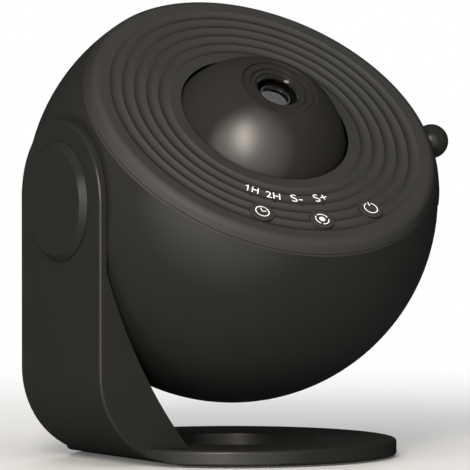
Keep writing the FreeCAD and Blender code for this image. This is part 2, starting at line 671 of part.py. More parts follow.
def vents():
    """Slots across a round field on the back of the ball."""
    cuts = []
    for i in range(VENT_COUNT):
        off = (i - (VENT_COUNT - 1) / 2.0) * VENT_PITCH
        length = 2 * math.sqrt(VENT_FIELD_R ** 2 - off ** 2)
        cuts.append(slot_block(length, VENT_WIDTH, -BALL_R - 1, MAIN_BOARD_Z - BOARD_T, VENT_Y + off))
    return fuse(*cuts)


def rear_shell():
    """Rear two thirds of the ball, with the pivot recess, screw tunnels and socket port."""
    outer = ball_blank(BALL_R, FLAT_X, SEAM_Z - SEAM_GAP)
    shell = outer.cut(ball_blank(BALL_IN_R, FLAT_X - BALL_WALL, BALL_R))
    cup = x_rod(RECESS_R + BALL_WALL, -FLAT_X, -CUP_X)
    pad_x, pad_y = PORT_LENGTH / 2 + PORT_WALL, PORT_WIDTH / 2 + PORT_WALL
    pad = block(-pad_x, pad_x, SOCKET_Y - pad_y, SOCKET_Y + pad_y, -BALL_R, PORT_FLOOR_Z + PORT_WALL)
    pad = pad.common(ball(BALL_R))
    tunnels = screw_tunnels(TUNNEL_R, TUNNEL_TOP_Z).common(outer)
    bosses = fuse(*copies(rod(BOARD_BOSS_R, -BALL_R, MAIN_BOARD_Z), BOARD_SCREWS)).common(outer)
    shell = fuse(shell, cup, pad, tunnels, bosses)
    shell = shell.cut(x_rod(RECESS_R, -FLAT_X - 1, -RECESS_X))
    shell = shell.cut(x_rod(BUSH_R + FIT, -FLAT_X, -CUP_X + 1))
    shell = shell.cut(screw_tunnels(SCREW_HEAD_R + SCREW_HEAD_CLEAR, TUNNEL_TOP_Z - TUNNEL_FLOOR_T))
    shell = shell.cut(screw_tunnels(SCREW_R + SCREW_HOLE_CLEAR, TUNNEL_TOP_Z + 1))
    pilots = copies(rod(SMALL_SCREW_R + FIT, MAIN_BOARD_Z - SMALL_GRIP - 1, MAIN_BOARD_Z + 1), BOARD_SCREWS)
    shell = shell.cut(fuse(*pilots))
    recess = slot_block(PORT_LENGTH, PORT_WIDTH, -BALL_R - 1, PORT_FLOOR_Z, SOCKET_Y)
    port = slot_block(SOCKET_LENGTH + 2 * PORT_CLEAR, SOCKET_WIDTH + 2 * PORT_CLEAR,
                      -BALL_R, PORT_FLOOR_Z + PORT_WALL + 1, SOCKET_Y)
    return shell.cut(fuse(recess, port)).cut(vents()).cut(tray_notch())


def groove_steps():
    """Concave grooves from the outermost edge inwards, as steps of the cover's section."""
    steps = []
    for i in range(GROOVE_COUNT):
        inner = GROOVE_OUT_R - (i + 1) * GROOVE_PITCH
        steps.append(((inner + GROOVE_PITCH / 2.0, FACE_Z - GROOVE_DEPTH), (inner, FACE_Z)))
    return steps


def front_cover():
    """Front face with five concave grooves, dome opening, locating lip, posts and bosses."""
    seam_r = sphere_r(BALL_R, SEAM_Z)
    lip_z = SEAM_Z - LIP_DROP
    gap_r = DOME_HOLE_R
    mid_z = (FACE_Z + COLLAR_Z) / 2.0
    seam_mid = (FACE_Z + SEAM_Z) / 2.0
    cover = turned((seam_r, SEAM_Z), [
        ((sphere_r(BALL_R, seam_mid), seam_mid), (FACE_R, FACE_Z)), (GROOVE_OUT_R, FACE_Z),
        *groove_steps(), (sphere_r(gap_r, FACE_Z, DOME_Z), FACE_Z),
        ((sphere_r(gap_r, mid_z, DOME_Z), mid_z), (COLLAR_R - COLLAR_T, COLLAR_Z)),
        (COLLAR_R, COLLAR_Z), (COLLAR_R, PLATE_Z), (LIP_IN_R, PLATE_Z), (LIP_IN_R, lip_z),
        (LIP_OUT_R, lip_z), (LIP_OUT_R, SEAM_Z), (seam_r, SEAM_Z)])
    rim = [e for e in cover.Edges if at_height(FACE_Z)(e) and abs(e.BoundBox.XMax - FACE_R) < 1e-3]
    cover = cover.makeFillet(RIM_ROUND, rim)
    posts = copies(rod(POST_R, FRAME_Z1, PLATE_Z + EMBED), POSTS)
    deck_bosses = copies(rod(DECK_BOSS_R, DECK_Z1, PLATE_Z + EMBED), DECK_SCREWS)
    key_bosses = copies(rod(KEY_BOSS_R, KEY_BOARD_Z1, PLATE_Z + EMBED), KEY_SCREWS)
    cover = fuse(cover, *posts, *deck_bosses, *key_bosses)
    holes = copies(rod(BUTTON_R + BUTTON_CLEAR, PLATE_Z - 1, FACE_Z + 1), BUTTONS)
    holes += copies(rod(INDICATOR_R + FIT, PLATE_Z - 1, FACE_Z + 1), INDICATORS)
    holes += copies(rod(SCREW_R + FIT, FRAME_Z1 - 1, FRAME_Z1 + SCREW_GRIP + DRIVE_ROOM), POSTS)
    for z, places in ((DECK_Z1, DECK_SCREWS), (KEY_BOARD_Z1, KEY_SCREWS)):
        holes += copies(rod(SMALL_SCREW_R + FIT, z - 1, z + SMALL_GRIP + DRIVE_ROOM), places)
    return cover.cut(fuse(*holes))


def cross_recess(z):
    """Driver's cross, sunk into a screw head whose end is at height z."""
    arm = block(-CROSS_R, CROSS_R, -CROSS_W / 2, CROSS_W / 2, z - 1, z + CROSS_DEPTH)
    other = arm.copy()
    other.rotate(Vec(0, 0, 0), Vec(0, 0, 1), 90)
    return fuse(arm, other)


def shell_screws():
    head_z1 = TUNNEL_TOP_Z - TUNNEL_FLOOR_T
    head = rod(SCREW_HEAD_R, head_z1 - SCREW_HEAD_H, head_z1)
    screw = fuse(head, rod(SCREW_R, head_z1, FRAME_Z1 + SCREW_GRIP))
    return Part.makeCompound(copies(screw.cut(cross_recess(head_z1 - SCREW_HEAD_H)), POSTS))


# ---- dome, barrel and lenses -----------------------------------------------------------
def lens_dome():
    """Dome that turns to focus: stepped funnel in the flat top, sleeve inside."""
    in_r = DOME_R - DOME_WALL
    under_z = DOME_TOP_Z - DOME_TOP_T
    sleeve_in = GUIDE_R + RUN_FIT
    sleeve_out = sleeve_in + SLEEVE_T
    sleeve_z = GUIDE_TOP_Z - SLEEVE_LAP
    shares = [FUNNEL_SHRINK ** i for i in range(FUNNEL_STEPS)]
    funnel_r = DOME_TOP_R - FUNNEL_BORDER
    funnel, radius = [], funnel_r
    for i, share in enumerate(shares):
        z = DOME_TOP_Z - (i + 1) * FUNNEL_DEPTH / FUNNEL_STEPS
        funnel.append((radius, z))
        radius -= (funnel_r - PUPIL_R) * share / sum(shares)
        funnel.append((radius, z))
    outer_mid = (DOME_TOP_Z + DOME_RIM_Z) / 2.0
    meet_z = DOME_Z + math.sqrt(in_r ** 2 - sleeve_out ** 2)
    inner_mid = (meet_z + DOME_RIM_Z) / 2.0
    dome = turned((sphere_r(DOME_R, DOME_RIM_Z, DOME_Z), DOME_RIM_Z), [
        ((sphere_r(DOME_R, outer_mid, DOME_Z), outer_mid), (DOME_TOP_R, DOME_TOP_Z)),
        (funnel_r, DOME_TOP_Z), *funnel, (PUPIL_R, under_z), (sleeve_in, under_z),
        (sleeve_in, sleeve_z), (sleeve_out, sleeve_z), (sleeve_out, meet_z),
        ((sphere_r(in_r, inner_mid, DOME_Z), inner_mid), (sphere_r(in_r, DOME_RIM_Z, DOME_Z), DOME_RIM_Z)),
        (sphere_r(DOME_R, DOME_RIM_Z, DOME_Z), DOME_RIM_Z)])
    rim = [e for e in dome.Edges if at_height(DOME_TOP_Z)(e) and abs(e.BoundBox.XMax - DOME_TOP_R) < 1e-3]
    return dome.makeFillet(DOME_TOP_ROUND, rim)


def lens_barrel():
    """Lens tube with a focusing collar, and a coned nose that holds the front lens."""
    collar_z0 = GUIDE_TOP_Z + FOCUS_TRAVEL + COLLAR_ROOM
    collar_r = GUIDE_R
    barrel = turned((BARREL_BORE_R, BARREL_Z0), [
        (BARREL_R, BARREL_Z0), (BARREL_R, collar_z0), (collar_r, collar_z0), (collar_r, collar_z0 + COLLAR_H),
        (BARREL_R, collar_z0 + COLLAR_H), (BARREL_R, BARREL_Z1), (NOSE_R, BARREL_Z1),
        (NOSE_R, NOSE_Z - NOSE_CONE_H), (BARREL_EYE_R + NOSE_TIP_T, NOSE_Z), (BARREL_EYE_R, NOSE_Z),
        (BARREL_EYE_R, LENS_SEAT_Z), (NOSE_BORE_R, LENS_SEAT_Z), (NOSE_BORE_R, BARREL_WALL_Z),
        (BARREL_BORE_R, BARREL_WALL_Z), (BARREL_BORE_R, BARREL_Z0)])
    return barrel


def rear_lens_radius():
    return BARREL_BORE_R - FIT


def front_lens_radius():
    return NOSE_BORE_R - FIT


def front_lens_sag(radius):
    """Depth of the front lens's face below its apex, at a distance from the axis."""
    return LENS_FRONT_RC - math.sqrt(LENS_FRONT_RC ** 2 - radius ** 2)


def front_lens_z():
    """Apex, edge and flat back of the front lens, whose face bears on the rim of the eye."""
    apex = LENS_SEAT_Z + front_lens_sag(BARREL_EYE_R)
    edge = apex - front_lens_sag(front_lens_radius())
    return apex, edge, edge - LENS_EDGE


def front_lens():
    radius = front_lens_radius()
    apex, edge, back = front_lens_z()
    half = radius / 2.0
    return turned((0, back), [
        (radius, back), (radius, edge), ((half, apex - front_lens_sag(half)), (0, apex)), (0, back)])


def rear_lens_sag():
    return REAR_LENS_RC - math.sqrt(REAR_LENS_RC ** 2 - rear_lens_radius() ** 2)


def rear_lens_z():
    """Lower and upper plane of the rear lens's edge, above the threaded ring."""
    edge_z0 = BARREL_Z0 + REAR_LENS_SUNK + rear_lens_sag()
    return edge_z0, edge_z0 + REAR_LENS_T


def rear_lens():
    radius = rear_lens_radius()
    edge_z0, front_z = rear_lens_z()
    apex = edge_z0 - rear_lens_sag()
    half = radius / 2.0
    half_z = apex + REAR_LENS_RC - math.sqrt(REAR_LENS_RC ** 2 - half ** 2)
    return turned((0, front_z), [
        (radius, front_z), (radius, edge_z0), ((half, half_z), (0, apex)), (0, front_z)])


def lens_spacer():
    """Stepped tube between the two lenses: a wide foot, and a neck inside the nose."""
    foot_r, neck_r = rear_lens_radius(), front_lens_radius()
    foot_in, neck_in = foot_r - SPACER_T, neck_r - SPACER_T
    z0, z1, z2 = rear_lens_z()[1], BARREL_WALL_Z - SPACER_SHOULDER, front_lens_z()[2]
    return turned((foot_in, z0), [
        (foot_r, z0), (foot_r, z1), (neck_r, z1), (neck_r, z2), (neck_in, z2), (neck_in, z1 - SPACER_T),
        (foot_in, z1 - SPACER_T), (foot_in, z0)])


def barrel_ring():
    return tube(rear_lens_radius(), rear_lens_radius() - 2 * SPACER_T, BARREL_Z0, rear_lens_z()[0] - RING_GAP)


def lens_deck():
    """Deck over the film tray, with the tube that guides the barrel and the dome."""
    deck = fuse(rod(DECK_R, DECK_Z0, DECK_Z1), rod(GUIDE_R, DECK_Z0, GUIDE_TOP_Z))
    deck = deck.cut(rod(BARREL_R + RUN_FIT, DECK_Z0 - 1, GUIDE_TOP_Z + 1))
    hole = fuse(rod(SMALL_SCREW_R + SCREW_HOLE_CLEAR, DECK_Z0 - 1, DECK_Z1 + 1),
                rod(SMALL_HEAD_R + SCREW_HOLE_CLEAR, DECK_Z0 - 1, DECK_Z0 + SMALL_HEAD_H))
    notch = rod(POST_R + LOOSE, DECK_Z0 - 1, DECK_Z1 + 1)
    return deck.cut(fuse(*copies(hole, DECK_SCREWS), *copies(notch, POSTS)))


def deck_screws():
    screw = fuse(rod(SMALL_HEAD_R, DECK_Z0, DECK_Z0 + SMALL_HEAD_H),
                 rod(SMALL_SCREW_R, DECK_Z0 + SMALL_HEAD_H, DECK_Z1 + SMALL_GRIP))
    return Part.makeCompound(copies(screw, DECK_SCREWS))


# ---- gears -----------------------------------------------------------------------------
def involute_point(base_r, radius, turn, side):
    """Point on an involute flank; side is -1 or 1, turn is the flank's start angle."""
    t = math.sqrt(max((radius / base_r) ** 2 - 1.0, 0.0))
    angle = turn + side * (t - math.atan(t))
    return Vec(radius * math.cos(angle), radius * math.sin(angle), 0)


def gear_outline(teeth, first_angle):
    """Closed outline of a stub-toothed involute gear, a tooth centred at first_angle."""
    pitch_r = PITCH * teeth
    base_r = pitch_r * math.cos(math.radians(PRESSURE_ANGLE))
    tip_r = pitch_r + ADDENDUM * GEAR_MODULE
    root_r = pitch_r - DEDENDUM * GEAR_MODULE
    low_r = max(root_r, base_r)
    pitch_t = math.tan(math.radians(PRESSURE_ANGLE))
    half_tooth = math.pi / (2 * teeth) - BACKLASH / (2 * pitch_r)
    spread = half_tooth + pitch_t - math.radians(PRESSURE_ANGLE)
    points = []
    for i in range(teeth):
        middle = math.radians(first_angle) + 2 * math.pi * i / teeth
        flank = [low_r, (low_r + tip_r) / 2.0, tip_r]
        first, last = middle - spread, middle + spread
        points.append(Vec(root_r * math.cos(first), root_r * math.sin(first), 0))
        points += [involute_point(base_r, r, first, 1) for r in flank if r > root_r + 1e-6]
        points += [involute_point(base_r, r, last, -1) for r in reversed(flank) if r > root_r + 1e-6]
        points.append(Vec(root_r * math.cos(last), root_r * math.sin(last), 0))
    return points + [points[0]]


def gear(teeth, first_angle, z0, z1):
    outline = [p + Vec(0, 0, z0) for p in gear_outline(teeth, first_angle)]
    return Part.Face(Part.makePolygon(outline)).extrude(Vec(0, 0, z1 - z0))


def disc_rotor():
    """Toothed ring that carries the film disc and turns in the tray's bore."""
    rim = gear(ROTOR_TEETH, 180.0, ROTOR_Z0, ROTOR_Z1)
    rotor = fuse(rim, rod(ROTOR_SPIGOT_R, TRAY_BOTTOM_Z + LOOSE, ROTOR_Z0 + EMBED))
    rotor = rotor.cut(rod(ROTOR_BORE_R, TRAY_BOTTOM_Z, ROTOR_Z1 + 1))
    return rotor.cut(rod(FILM_R + FIT, ROTOR_Z1 - FILM_T - CLIP_T, ROTOR_Z1 + 1))


def film_disc():
    return rod(FILM_R, ROTOR_Z1 - FILM_T - CLIP_T, ROTOR_Z1 - CLIP_T)


def film_clip():
    """Split snap ring that holds the film in the rotor."""
    ring = tube(FILM_R, FILM_R - CLIP_W, ROTOR_Z1 - CLIP_T, ROTOR_Z1)
    return ring.cut(block(0, FILM_R + 1, -CLIP_SPLIT / 2, CLIP_SPLIT / 2, ROTOR_Z0, ROTOR_Z1 + 1))


def motor_bore_z():
    """Bottom of the motor's shaft bore."""
    return FRAME_Z0 - MOTOR_BORE_DEPTH


def drive_pinion():
    """Motor pinion with its shaft; a tooth gap faces the rotor."""
    z0 = TRAY_FLOOR_Z + TRAY_CLEAR
    teeth = gear(PINION_TEETH, 180.0 / PINION_TEETH, z0, z0 + PINION_T)
    shaft = rod(PINION_SHAFT_R, motor_bore_z() + LOOSE, z0 + EMBED)
    return fuse(teeth, shaft).translated(Vec(-GEAR_CENTRES, 0, 0))


# ---- film tray ---------------------------------------------------------------------------
def pinion_window():
    """Half width of the way that the tray leaves for the pinion."""
    return PITCH * PINION_TEETH + ADDENDUM * GEAR_MODULE + PINION_ROOM


def film_tray():
    """Fork-shaped tray: round seat for the rotor, window for the pinion, two runners."""
    w, floor = TRAY_HALF_W, TRAY_FLOOR_Z
    body = fuse(block(0, BALL_R, -w, w, TRAY_BOTTOM_Z, TRAY_TOP_Z), rod(w, TRAY_BOTTOM_Z, TRAY_TOP_Z))
    runner = block(TRAY_TAIL_X, EMBED, w - RAIL_W, w, TRAY_BOTTOM_Z, TRAY_TOP_Z)
    body = fuse(body, runner, runner.translated(Vec(0, RAIL_W - 2 * w, 0)))
    body = body.common(ball(BALL_R + FRONT_PROUD - FRONT_T - FRONT_SEAT))
    body = body.cut(rod(SEAT_R, floor, TRAY_TOP_Z + 1))
    body = body.cut(rod(ROTOR_SPIGOT_R + RUN_FIT, TRAY_BOTTOM_Z - 1, floor + 1))
    window = pinion_window()
    body = body.cut(block(-w - 1, -SEAT_R / 2, -window, window, floor, TRAY_TOP_Z + 1))
    x1 = knob_wall_x()
    half = KNOB_POCKET_W / 2
    body = body.cut(block(x1 - KNOB_POCKET_L, x1, -half, half, floor, TRAY_TOP_Z + 1))
    body = body.cut(tray_cores())
    knob_hole = x_rod(KNOB_SCREW_R + SCREW_HOLE_CLEAR, x1 - 1, BALL_R)
    return body.cut(knob_hole.translated(Vec(0, 0, KNOB_Z)))


def tray_cores():
    """Blind cores in the underside of the tray, left and right of the knob screw."""
    long, wide = CORE_SIZE
    cores = []
    for i in range(2):
        x = SEAT_R + TRAY_WALL + i * (long + CORE_RIB)
        for j in range(2):
            y = KNOB_POCKET_W / 2 + CORE_RIB + j * (wide + CORE_RIB)
            wall = min(y + wide, TRAY_HALF_W - CORE_RIB)
            core = block(x, x + long, y, wall, TRAY_BOTTOM_Z - 1, TRAY_BOTTOM_Z + CORE_DEPTH)
            cores += [core, far_side(core)]
    return fuse(*cores)


def knob_wall_x():
    """Inner face of the tray wall that the knob screw's head bears on."""
    return sphere_r(BALL_R - FRONT_T, TRAY_TOP_Z) - TRAY_END_WALL


def disc_retainer():
    """Open ring above the rotor's teeth, snapped into the tray's seat."""
    z0 = ROTOR_Z1 + LOOSE
    ring = tube(SEAT_R - FIT, ROTOR_TIP_R - RETAINER_LAP, z0, z0 + RETAINER_T)
    window = pinion_window()
    return ring.cut(block(-SEAT_R - 1, 0, -window, window, z0 - 1, z0 + RETAINER_T + 1))


def tray_front():
    """Front of the film tray: a patch of sphere a little proud of the ball."""
    r1 = BALL_R + FRONT_PROUD
    patch = ball(r1).cut(ball(r1 - FRONT_T))
    patch = patch.common(block(1, r1 + 1, -FRONT_HALF_W, FRONT_HALF_W, FRONT_Z0, FRONT_Z1))
    hole = x_rod(KNOB_SCREW_R + SCREW_HOLE_CLEAR, 1, r1 + 1)
    return patch.cut(hole.translated(Vec(0, 0, KNOB_Z)))


def knob_x():
    """Centre of the knob's ball."""
    return sphere_r(BALL_R + FRONT_PROUD, KNOB_Z) + KNOB_STAND


def tray_knob():
    """Ball knob on a short neck, seated on the tray front."""
    r1 = BALL_R + FRONT_PROUD
    seat_x = sphere_r(r1, KNOB_Z)
    knob = Part.makeSphere(KNOB_R, Vec(knob_x(), 0, KNOB_Z))
    neck = x_rod(KNOB_NECK_R, seat_x - KNOB_NECK_R, knob_x()).translated(Vec(0, 0, KNOB_Z))
    knob = fuse(knob, neck).cut(ball(r1 + FRONT_SEAT))
    pilot = x_rod(KNOB_SCREW_R + FIT, seat_x - KNOB_R, knob_x() + KNOB_GRIP + DRIVE_ROOM)
    return knob.cut(pilot.translated(Vec(0, 0, KNOB_Z)))


def knob_screw():
    x0 = knob_wall_x()
    screw = fuse(x_rod(KNOB_HEAD_R, x0 - KNOB_HEAD_H, x0), x_rod(KNOB_SCREW_R, x0, knob_x() + KNOB_GRIP))
    return screw.translated(Vec(0, 0, KNOB_Z))


# ---- mid frame and light engine ------------------------------------------------------------
def mid_frame():
    """Plate clamped between tunnels and posts, with the tray's rails and side walls."""
    w = TRAY_HALF_W
    pads = copies(rod(FRAME_PAD_R, FRAME_Z0, FRAME_Z1), POSTS)
    frame = fuse(rod(FRAME_R, FRAME_Z0, FRAME_Z1), *pads)
    frame = frame.common(block(FRAME_CUT_X, BALL_R, -BALL_R, BALL_R, FRAME_Z0, FRAME_Z1))
    rail = block(RAIL_X0, RAIL_X1, w - RAIL_W, w, FRAME_Z1 - EMBED, TRAY_BOTTOM_Z - TRAY_CLEAR)
    wall_y = w + TRAY_CLEAR
    wall = block(RAIL_X0, RAIL_X1, wall_y, WALL_OUT_Y, FRAME_Z1 - EMBED, TRAY_TOP_Z)
    frame = fuse(frame, rail, far_side(rail), wall, far_side(wall))
    frame = frame.cut(rod(LIGHT_HOLE_R, FRAME_Z0 - 1, FRAME_Z1 + 1))
    frame = frame.cut(rod(MOTOR_BOSS_R + FIT, FRAME_Z0 - 1, FRAME_Z1 + 1, -GEAR_CENTRES, 0))
    return frame.cut(fuse(*copies(rod(SCREW_R + SCREW_HOLE_CLEAR, FRAME_Z0 - 1, FRAME_Z1 + 1), POSTS)))


def drive_motor():
    """Small geared motor under the mid frame, with its locating boss."""
    x = -GEAR_CENTRES
    boss_z = FRAME_Z1 + MOTOR_BOSS_H
    body = rod(MOTOR_R, FRAME_Z0 - MOTOR_H, FRAME_Z0, x)
    motor = fuse(body, rod(MOTOR_BOSS_R, FRAME_Z0 - EMBED, boss_z, x))
    return motor.cut(rod(PINION_SHAFT_R + RUN_FIT, motor_bore_z(), boss_z + 1, x))


def shoulder_z():
    """Rear and front face of the lamp tube's inner shoulder."""
    middle = (LAMP_Z0 + FRAME_Z0) / 2.0
    return middle - LAMP_SHOULDER_T / 2, middle + LAMP_SHOULDER_T / 2


def lamp_tube():
    """Light tunnel with an inner shoulder between the two condenser lenses."""
    body = tube(LAMP_R, LAMP_R - LAMP_WALL, LAMP_Z0, FRAME_Z0)
    inside = LAMP_R - LAMP_WALL
    return fuse(body, tube(inside + EMBED, inside - LAMP_SHOULDER_W, *shoulder_z()))


def condenser_lens(z_flat, towards):
    """Plano-convex lens; its flat side sits on the lamp tube's shoulder."""
    edge = z_flat + towards * CONDENSER_EDGE
    sag = CONDENSER_RC - math.sqrt(CONDENSER_RC ** 2 - CONDENSER_R ** 2)
    apex = edge + towards * sag
    centre = apex - towards * CONDENSER_RC
    half = CONDENSER_R / 2.0
    middle = (half, centre + towards * math.sqrt(CONDENSER_RC ** 2 - half ** 2))
    return turned((0, z_flat), [(CONDENSER_R, z_flat), (CONDENSER_R, edge), (middle, (0, apex)), (0, z_flat)])


def led_board():
    return rod(LAMP_R, LED_BOARD_Z0, LAMP_Z0)


def led_emitter():
    """Lamp LED: a square package with a domed lens."""
    half = LED_SIZE / 2.0
    lens = ball(LED_LENS_R, LAMP_Z0).common(block(-half, half, -half, half, LAMP_Z0, LAMP_Z0 + LED_SIZE))
    return fuse(block(-half, half, -half, half, LAMP_Z0, LAMP_Z0 + LED_H), lens)


def heat_sink():
    """Round heat sink: a base disc and a row of straight fins."""
    base_z0 = SINK_TOP_Z - SINK_BASE_T
    base = rod(SINK_R, base_z0, SINK_TOP_Z)
    pitch = 2 * LAMP_R / (SINK_FINS - 1)
    fin = block(-SINK_R, SINK_R, -FIN_T / 2, FIN_T / 2, SINK_END_Z, base_z0 + EMBED)
    fins = copies(fin, [(0, i * pitch - LAMP_R) for i in range(SINK_FINS)])
    return fuse(base, *fins).common(rod(SINK_R, SINK_END_Z, SINK_TOP_Z))


def main_board():
    z1 = MAIN_BOARD_Z + BOARD_T
    hole = rod(SMALL_SCREW_R + SCREW_HOLE_CLEAR, MAIN_BOARD_Z - 1, z1 + 1)
    notch = rod(TUNNEL_R + LOOSE, MAIN_BOARD_Z - 1, z1 + 1)
    return rod(MAIN_BOARD_R, MAIN_BOARD_Z, z1).cut(fuse(*copies(hole, BOARD_SCREWS), *copies(notch, POSTS)))


def board_parts():
    """Chips and capacitors on the main board."""
    z = MAIN_BOARD_Z + BOARD_T
    chips = [block(x - w / 2, x + w / 2, y - d / 2, y + d / 2, z, z + h) for x, y, w, d, h in BOARD_CHIPS]
    cans = copies(rod(CAN_R, z, z + CAN_H), BOARD_CANS)
    return Part.makeCompound(chips + cans)


def board_screws():
    z1 = MAIN_BOARD_Z + BOARD_T
    screw = fuse(rod(SMALL_HEAD_R, z1, z1 + SMALL_HEAD_H), rod(SMALL_SCREW_R, MAIN_BOARD_Z - SMALL_GRIP, z1))
    return Part.makeCompound(copies(screw, BOARD_SCREWS))


def power_socket():
    """Upright oval socket on the back of the main board, with its contact tongue."""
    z0 = PORT_FLOOR_Z + PORT_CLEAR
    body = slot_block(SOCKET_LENGTH, SOCKET_WIDTH, z0, MAIN_BOARD_Z, SOCKET_Y)
    mouth = slot_block(SOCKET_LENGTH - 2 * SOCKET_WALL, SOCKET_WIDTH - 2 * SOCKET_WALL,
                       z0 - 1, z0 + SOCKET_DEPTH, SOCKET_Y)
    half_w, half_t = TONGUE_WIDTH / 2.0, TONGUE_T / 2.0
    tongue_end = z0 + SOCKET_DEPTH + EMBED
    tongue = block(-half_w, half_w, SOCKET_Y - half_t, SOCKET_Y + half_t, z0 + TONGUE_SUNK, tongue_end)
    return fuse(body.cut(mouth), tongue)


# ---- buttons and indicators -----------------------------------------------------------------
def button(x, y):
    """Round button: proud cap, flange below the cover and a stem into its switch."""
    top = FACE_Z + BUTTON_PROUD
    cap = rod(BUTTON_R, FLANGE_Z0, top)
    cap = cap.makeFillet(BUTTON_ROUND, [e for e in cap.Edges if at_height(top)(e)])
    flange = rod(BUTTON_R + BUTTON_FLANGE, FLANGE_Z0, FLANGE_Z1)
    stem = rod(STEM_R, FLANGE_Z0 - STEM_LENGTH, FLANGE_Z1)
    return fuse(cap, flange, stem).translated(Vec(x, y, 0))


def key_board():
    """Curved board under the buttons."""
    ring = tube(KEY_BOARD_OUT_R, KEY_BOARD_IN_R, KEY_BOARD_Z0, KEY_BOARD_Z1)
    wedge = sector(-90 - KEY_BOARD_ANGLE / 2.0, KEY_BOARD_ANGLE, KEY_BOARD_Z0, KEY_BOARD_Z1)
    holes = copies(rod(SMALL_SCREW_R + SCREW_HOLE_CLEAR, KEY_BOARD_Z0 - 1, KEY_BOARD_Z1 + 1), KEY_SCREWS)
    return ring.common(wedge).cut(fuse(*holes))


def key_switches():
    half = SWITCH_W / 2.0
    body = block(-half, half, -half, half, KEY_BOARD_Z1, SWITCH_Z1)
    body = body.cut(rod(STEM_R + BUTTON_CLEAR, SWITCH_Z1 - WELL_DEPTH, SWITCH_Z1 + 1))
    return Part.makeCompound(copies(body, BUTTONS))


def key_board_screws():
    screw = fuse(rod(SMALL_HEAD_R, KEY_BOARD_Z0 - SMALL_HEAD_H, KEY_BOARD_Z0),
                 rod(SMALL_SCREW_R, KEY_BOARD_Z0, KEY_BOARD_Z1 + SMALL_GRIP))
    return Part.makeCompound(copies(screw, KEY_SCREWS))


def indicator_pipes():
    """Four light pins on one curved strip under the cover."""
    half_w = INDICATOR_STRIP_W / 2.0
    z0 = PLATE_Z - INDICATOR_STRIP_T
    ring = tube(INDICATOR_PCD_R + half_w, INDICATOR_PCD_R - half_w, z0, PLATE_Z)
    first, last = INDICATOR_ANGLES[0] - INDICATOR_END, INDICATOR_ANGLES[-1] + INDICATOR_END
    strip = ring.common(sector(first, last - first, z0, PLATE_Z))
    pins = copies(rod(INDICATOR_R, z0, FACE_Z - INDICATOR_SUNK), INDICATORS)
    return fuse(strip, *pins)


def indicator_leds():
    half = LED_CHIP / 2.0
    chip = block(-half, half, -half, half, KEY_BOARD_Z1, KEY_BOARD_Z1 + LED_CHIP_H)
    return Part.makeCompound(copies(chip, INDICATORS))


# ---- nodes ------------------------------------------------------------------------------------
def place_head(shape):
    """From the head frame to the world frame."""
    placed = shape.copy()
    placed.rotate(Vec(0, 0, 0), Vec(1, 0, 0), FACE_TILT)
    placed.translate(Vec(0, 0, CENTRE_Z))
    return placed


def lift(shape):
    """Pivot parts of the stand are drawn round the X axis and lifted to the ball centre."""
    return shape.translated(Vec(0, 0, CENTRE_Z))


def stand_nodes():
    return {
        "stand_shell": stand_shell(), "ballast_ring": ballast_ring(), "base_cover": base_cover(),
        "base_screws": base_screws(), "foot_ring": foot_ring(), "pivot_cap": lift(pivot_cap()),
    }


def head_nodes():
    shoulder = shoulder_z()
    nodes = {
        "pivot_bush": pivot_bush(), "friction_washer": friction_washer(), "wave_washer": wave_washer(),
        "pivot_screw": pivot_screw(), "pivot_nut": pivot_nut(), "rear_shell": rear_shell(),
        "front_cover": front_cover(), "shell_screws": shell_screws(), "lens_dome": lens_dome(),
        "lens_barrel": lens_barrel(), "front_lens": front_lens(), "rear_lens": rear_lens(),
        "lens_spacer": lens_spacer(), "barrel_ring": barrel_ring(), "lens_deck": lens_deck(),
        "deck_screws": deck_screws(), "disc_rotor": disc_rotor(), "film_disc": film_disc(),
        "film_clip": film_clip(), "drive_pinion": drive_pinion(), "film_tray": film_tray(),
        "disc_retainer": disc_retainer(), "tray_front": tray_front(), "tray_knob": tray_knob(),
        "knob_screw": knob_screw(), "mid_frame": mid_frame(), "drive_motor": drive_motor(),
        "lamp_tube": lamp_tube(), "condenser_front": condenser_lens(shoulder[1], 1),
        "condenser_rear": condenser_lens(shoulder[0], -1), "led_board": led_board(),
        "led_emitter": led_emitter(), "heat_sink": heat_sink(), "main_board": main_board(),
        "board_parts": board_parts(), "board_screws": board_screws(), "power_socket": power_socket(),
        "key_board": key_board(), "key_switches": key_switches(), "key_board_screws": key_board_screws(),
        "indicator_pipes": indicator_pipes(), "indicator_leds": indicator_leds(),
    }
    for name, (x, y) in zip(("timer_button", "mode_button", "power_button"), BUTTONS):
        nodes[name] = button(x, y)
    return {name: place_head(shape) for name, shape in nodes.items()}


def main():
    os.makedirs("parts", exist_ok=True)
    nodes = {**stand_nodes(), **head_nodes()}
    for name, shape in nodes.items():
        shape.exportStep(os.path.join("parts", name + ".step"))
        box = shape.BoundBox
        print("%-18s solids %d  valid %s  volume %9.1f  x %.1f..%.1f  y %.1f..%.1f  z %.1f..%.1f" % (
            name, len(shape.Solids), shape.isValid(), shape.Volume,
            box.XMin, box.XMax, box.YMin, box.YMax, box.ZMin, box.ZMax))


main()
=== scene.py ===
import json
import math

import bmesh
import bpy
from mathutils import Matrix, Vector


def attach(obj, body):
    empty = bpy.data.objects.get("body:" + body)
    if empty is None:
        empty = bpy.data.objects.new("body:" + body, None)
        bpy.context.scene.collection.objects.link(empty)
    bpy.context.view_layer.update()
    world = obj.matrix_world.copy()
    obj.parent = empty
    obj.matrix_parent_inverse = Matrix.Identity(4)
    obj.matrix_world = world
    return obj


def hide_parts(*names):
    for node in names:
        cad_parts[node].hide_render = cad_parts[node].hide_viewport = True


# Looks of the planetarium projector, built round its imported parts.
# Row frame: metres, +Z up, +X along the tilt pivot, -Y towards the user.
# Head frame: millimetres, origin at the ball's centre, +Z out of the front face, +Y to the
# top of the face. Shapes of the head are drawn there, and HEAD takes them to the row frame.

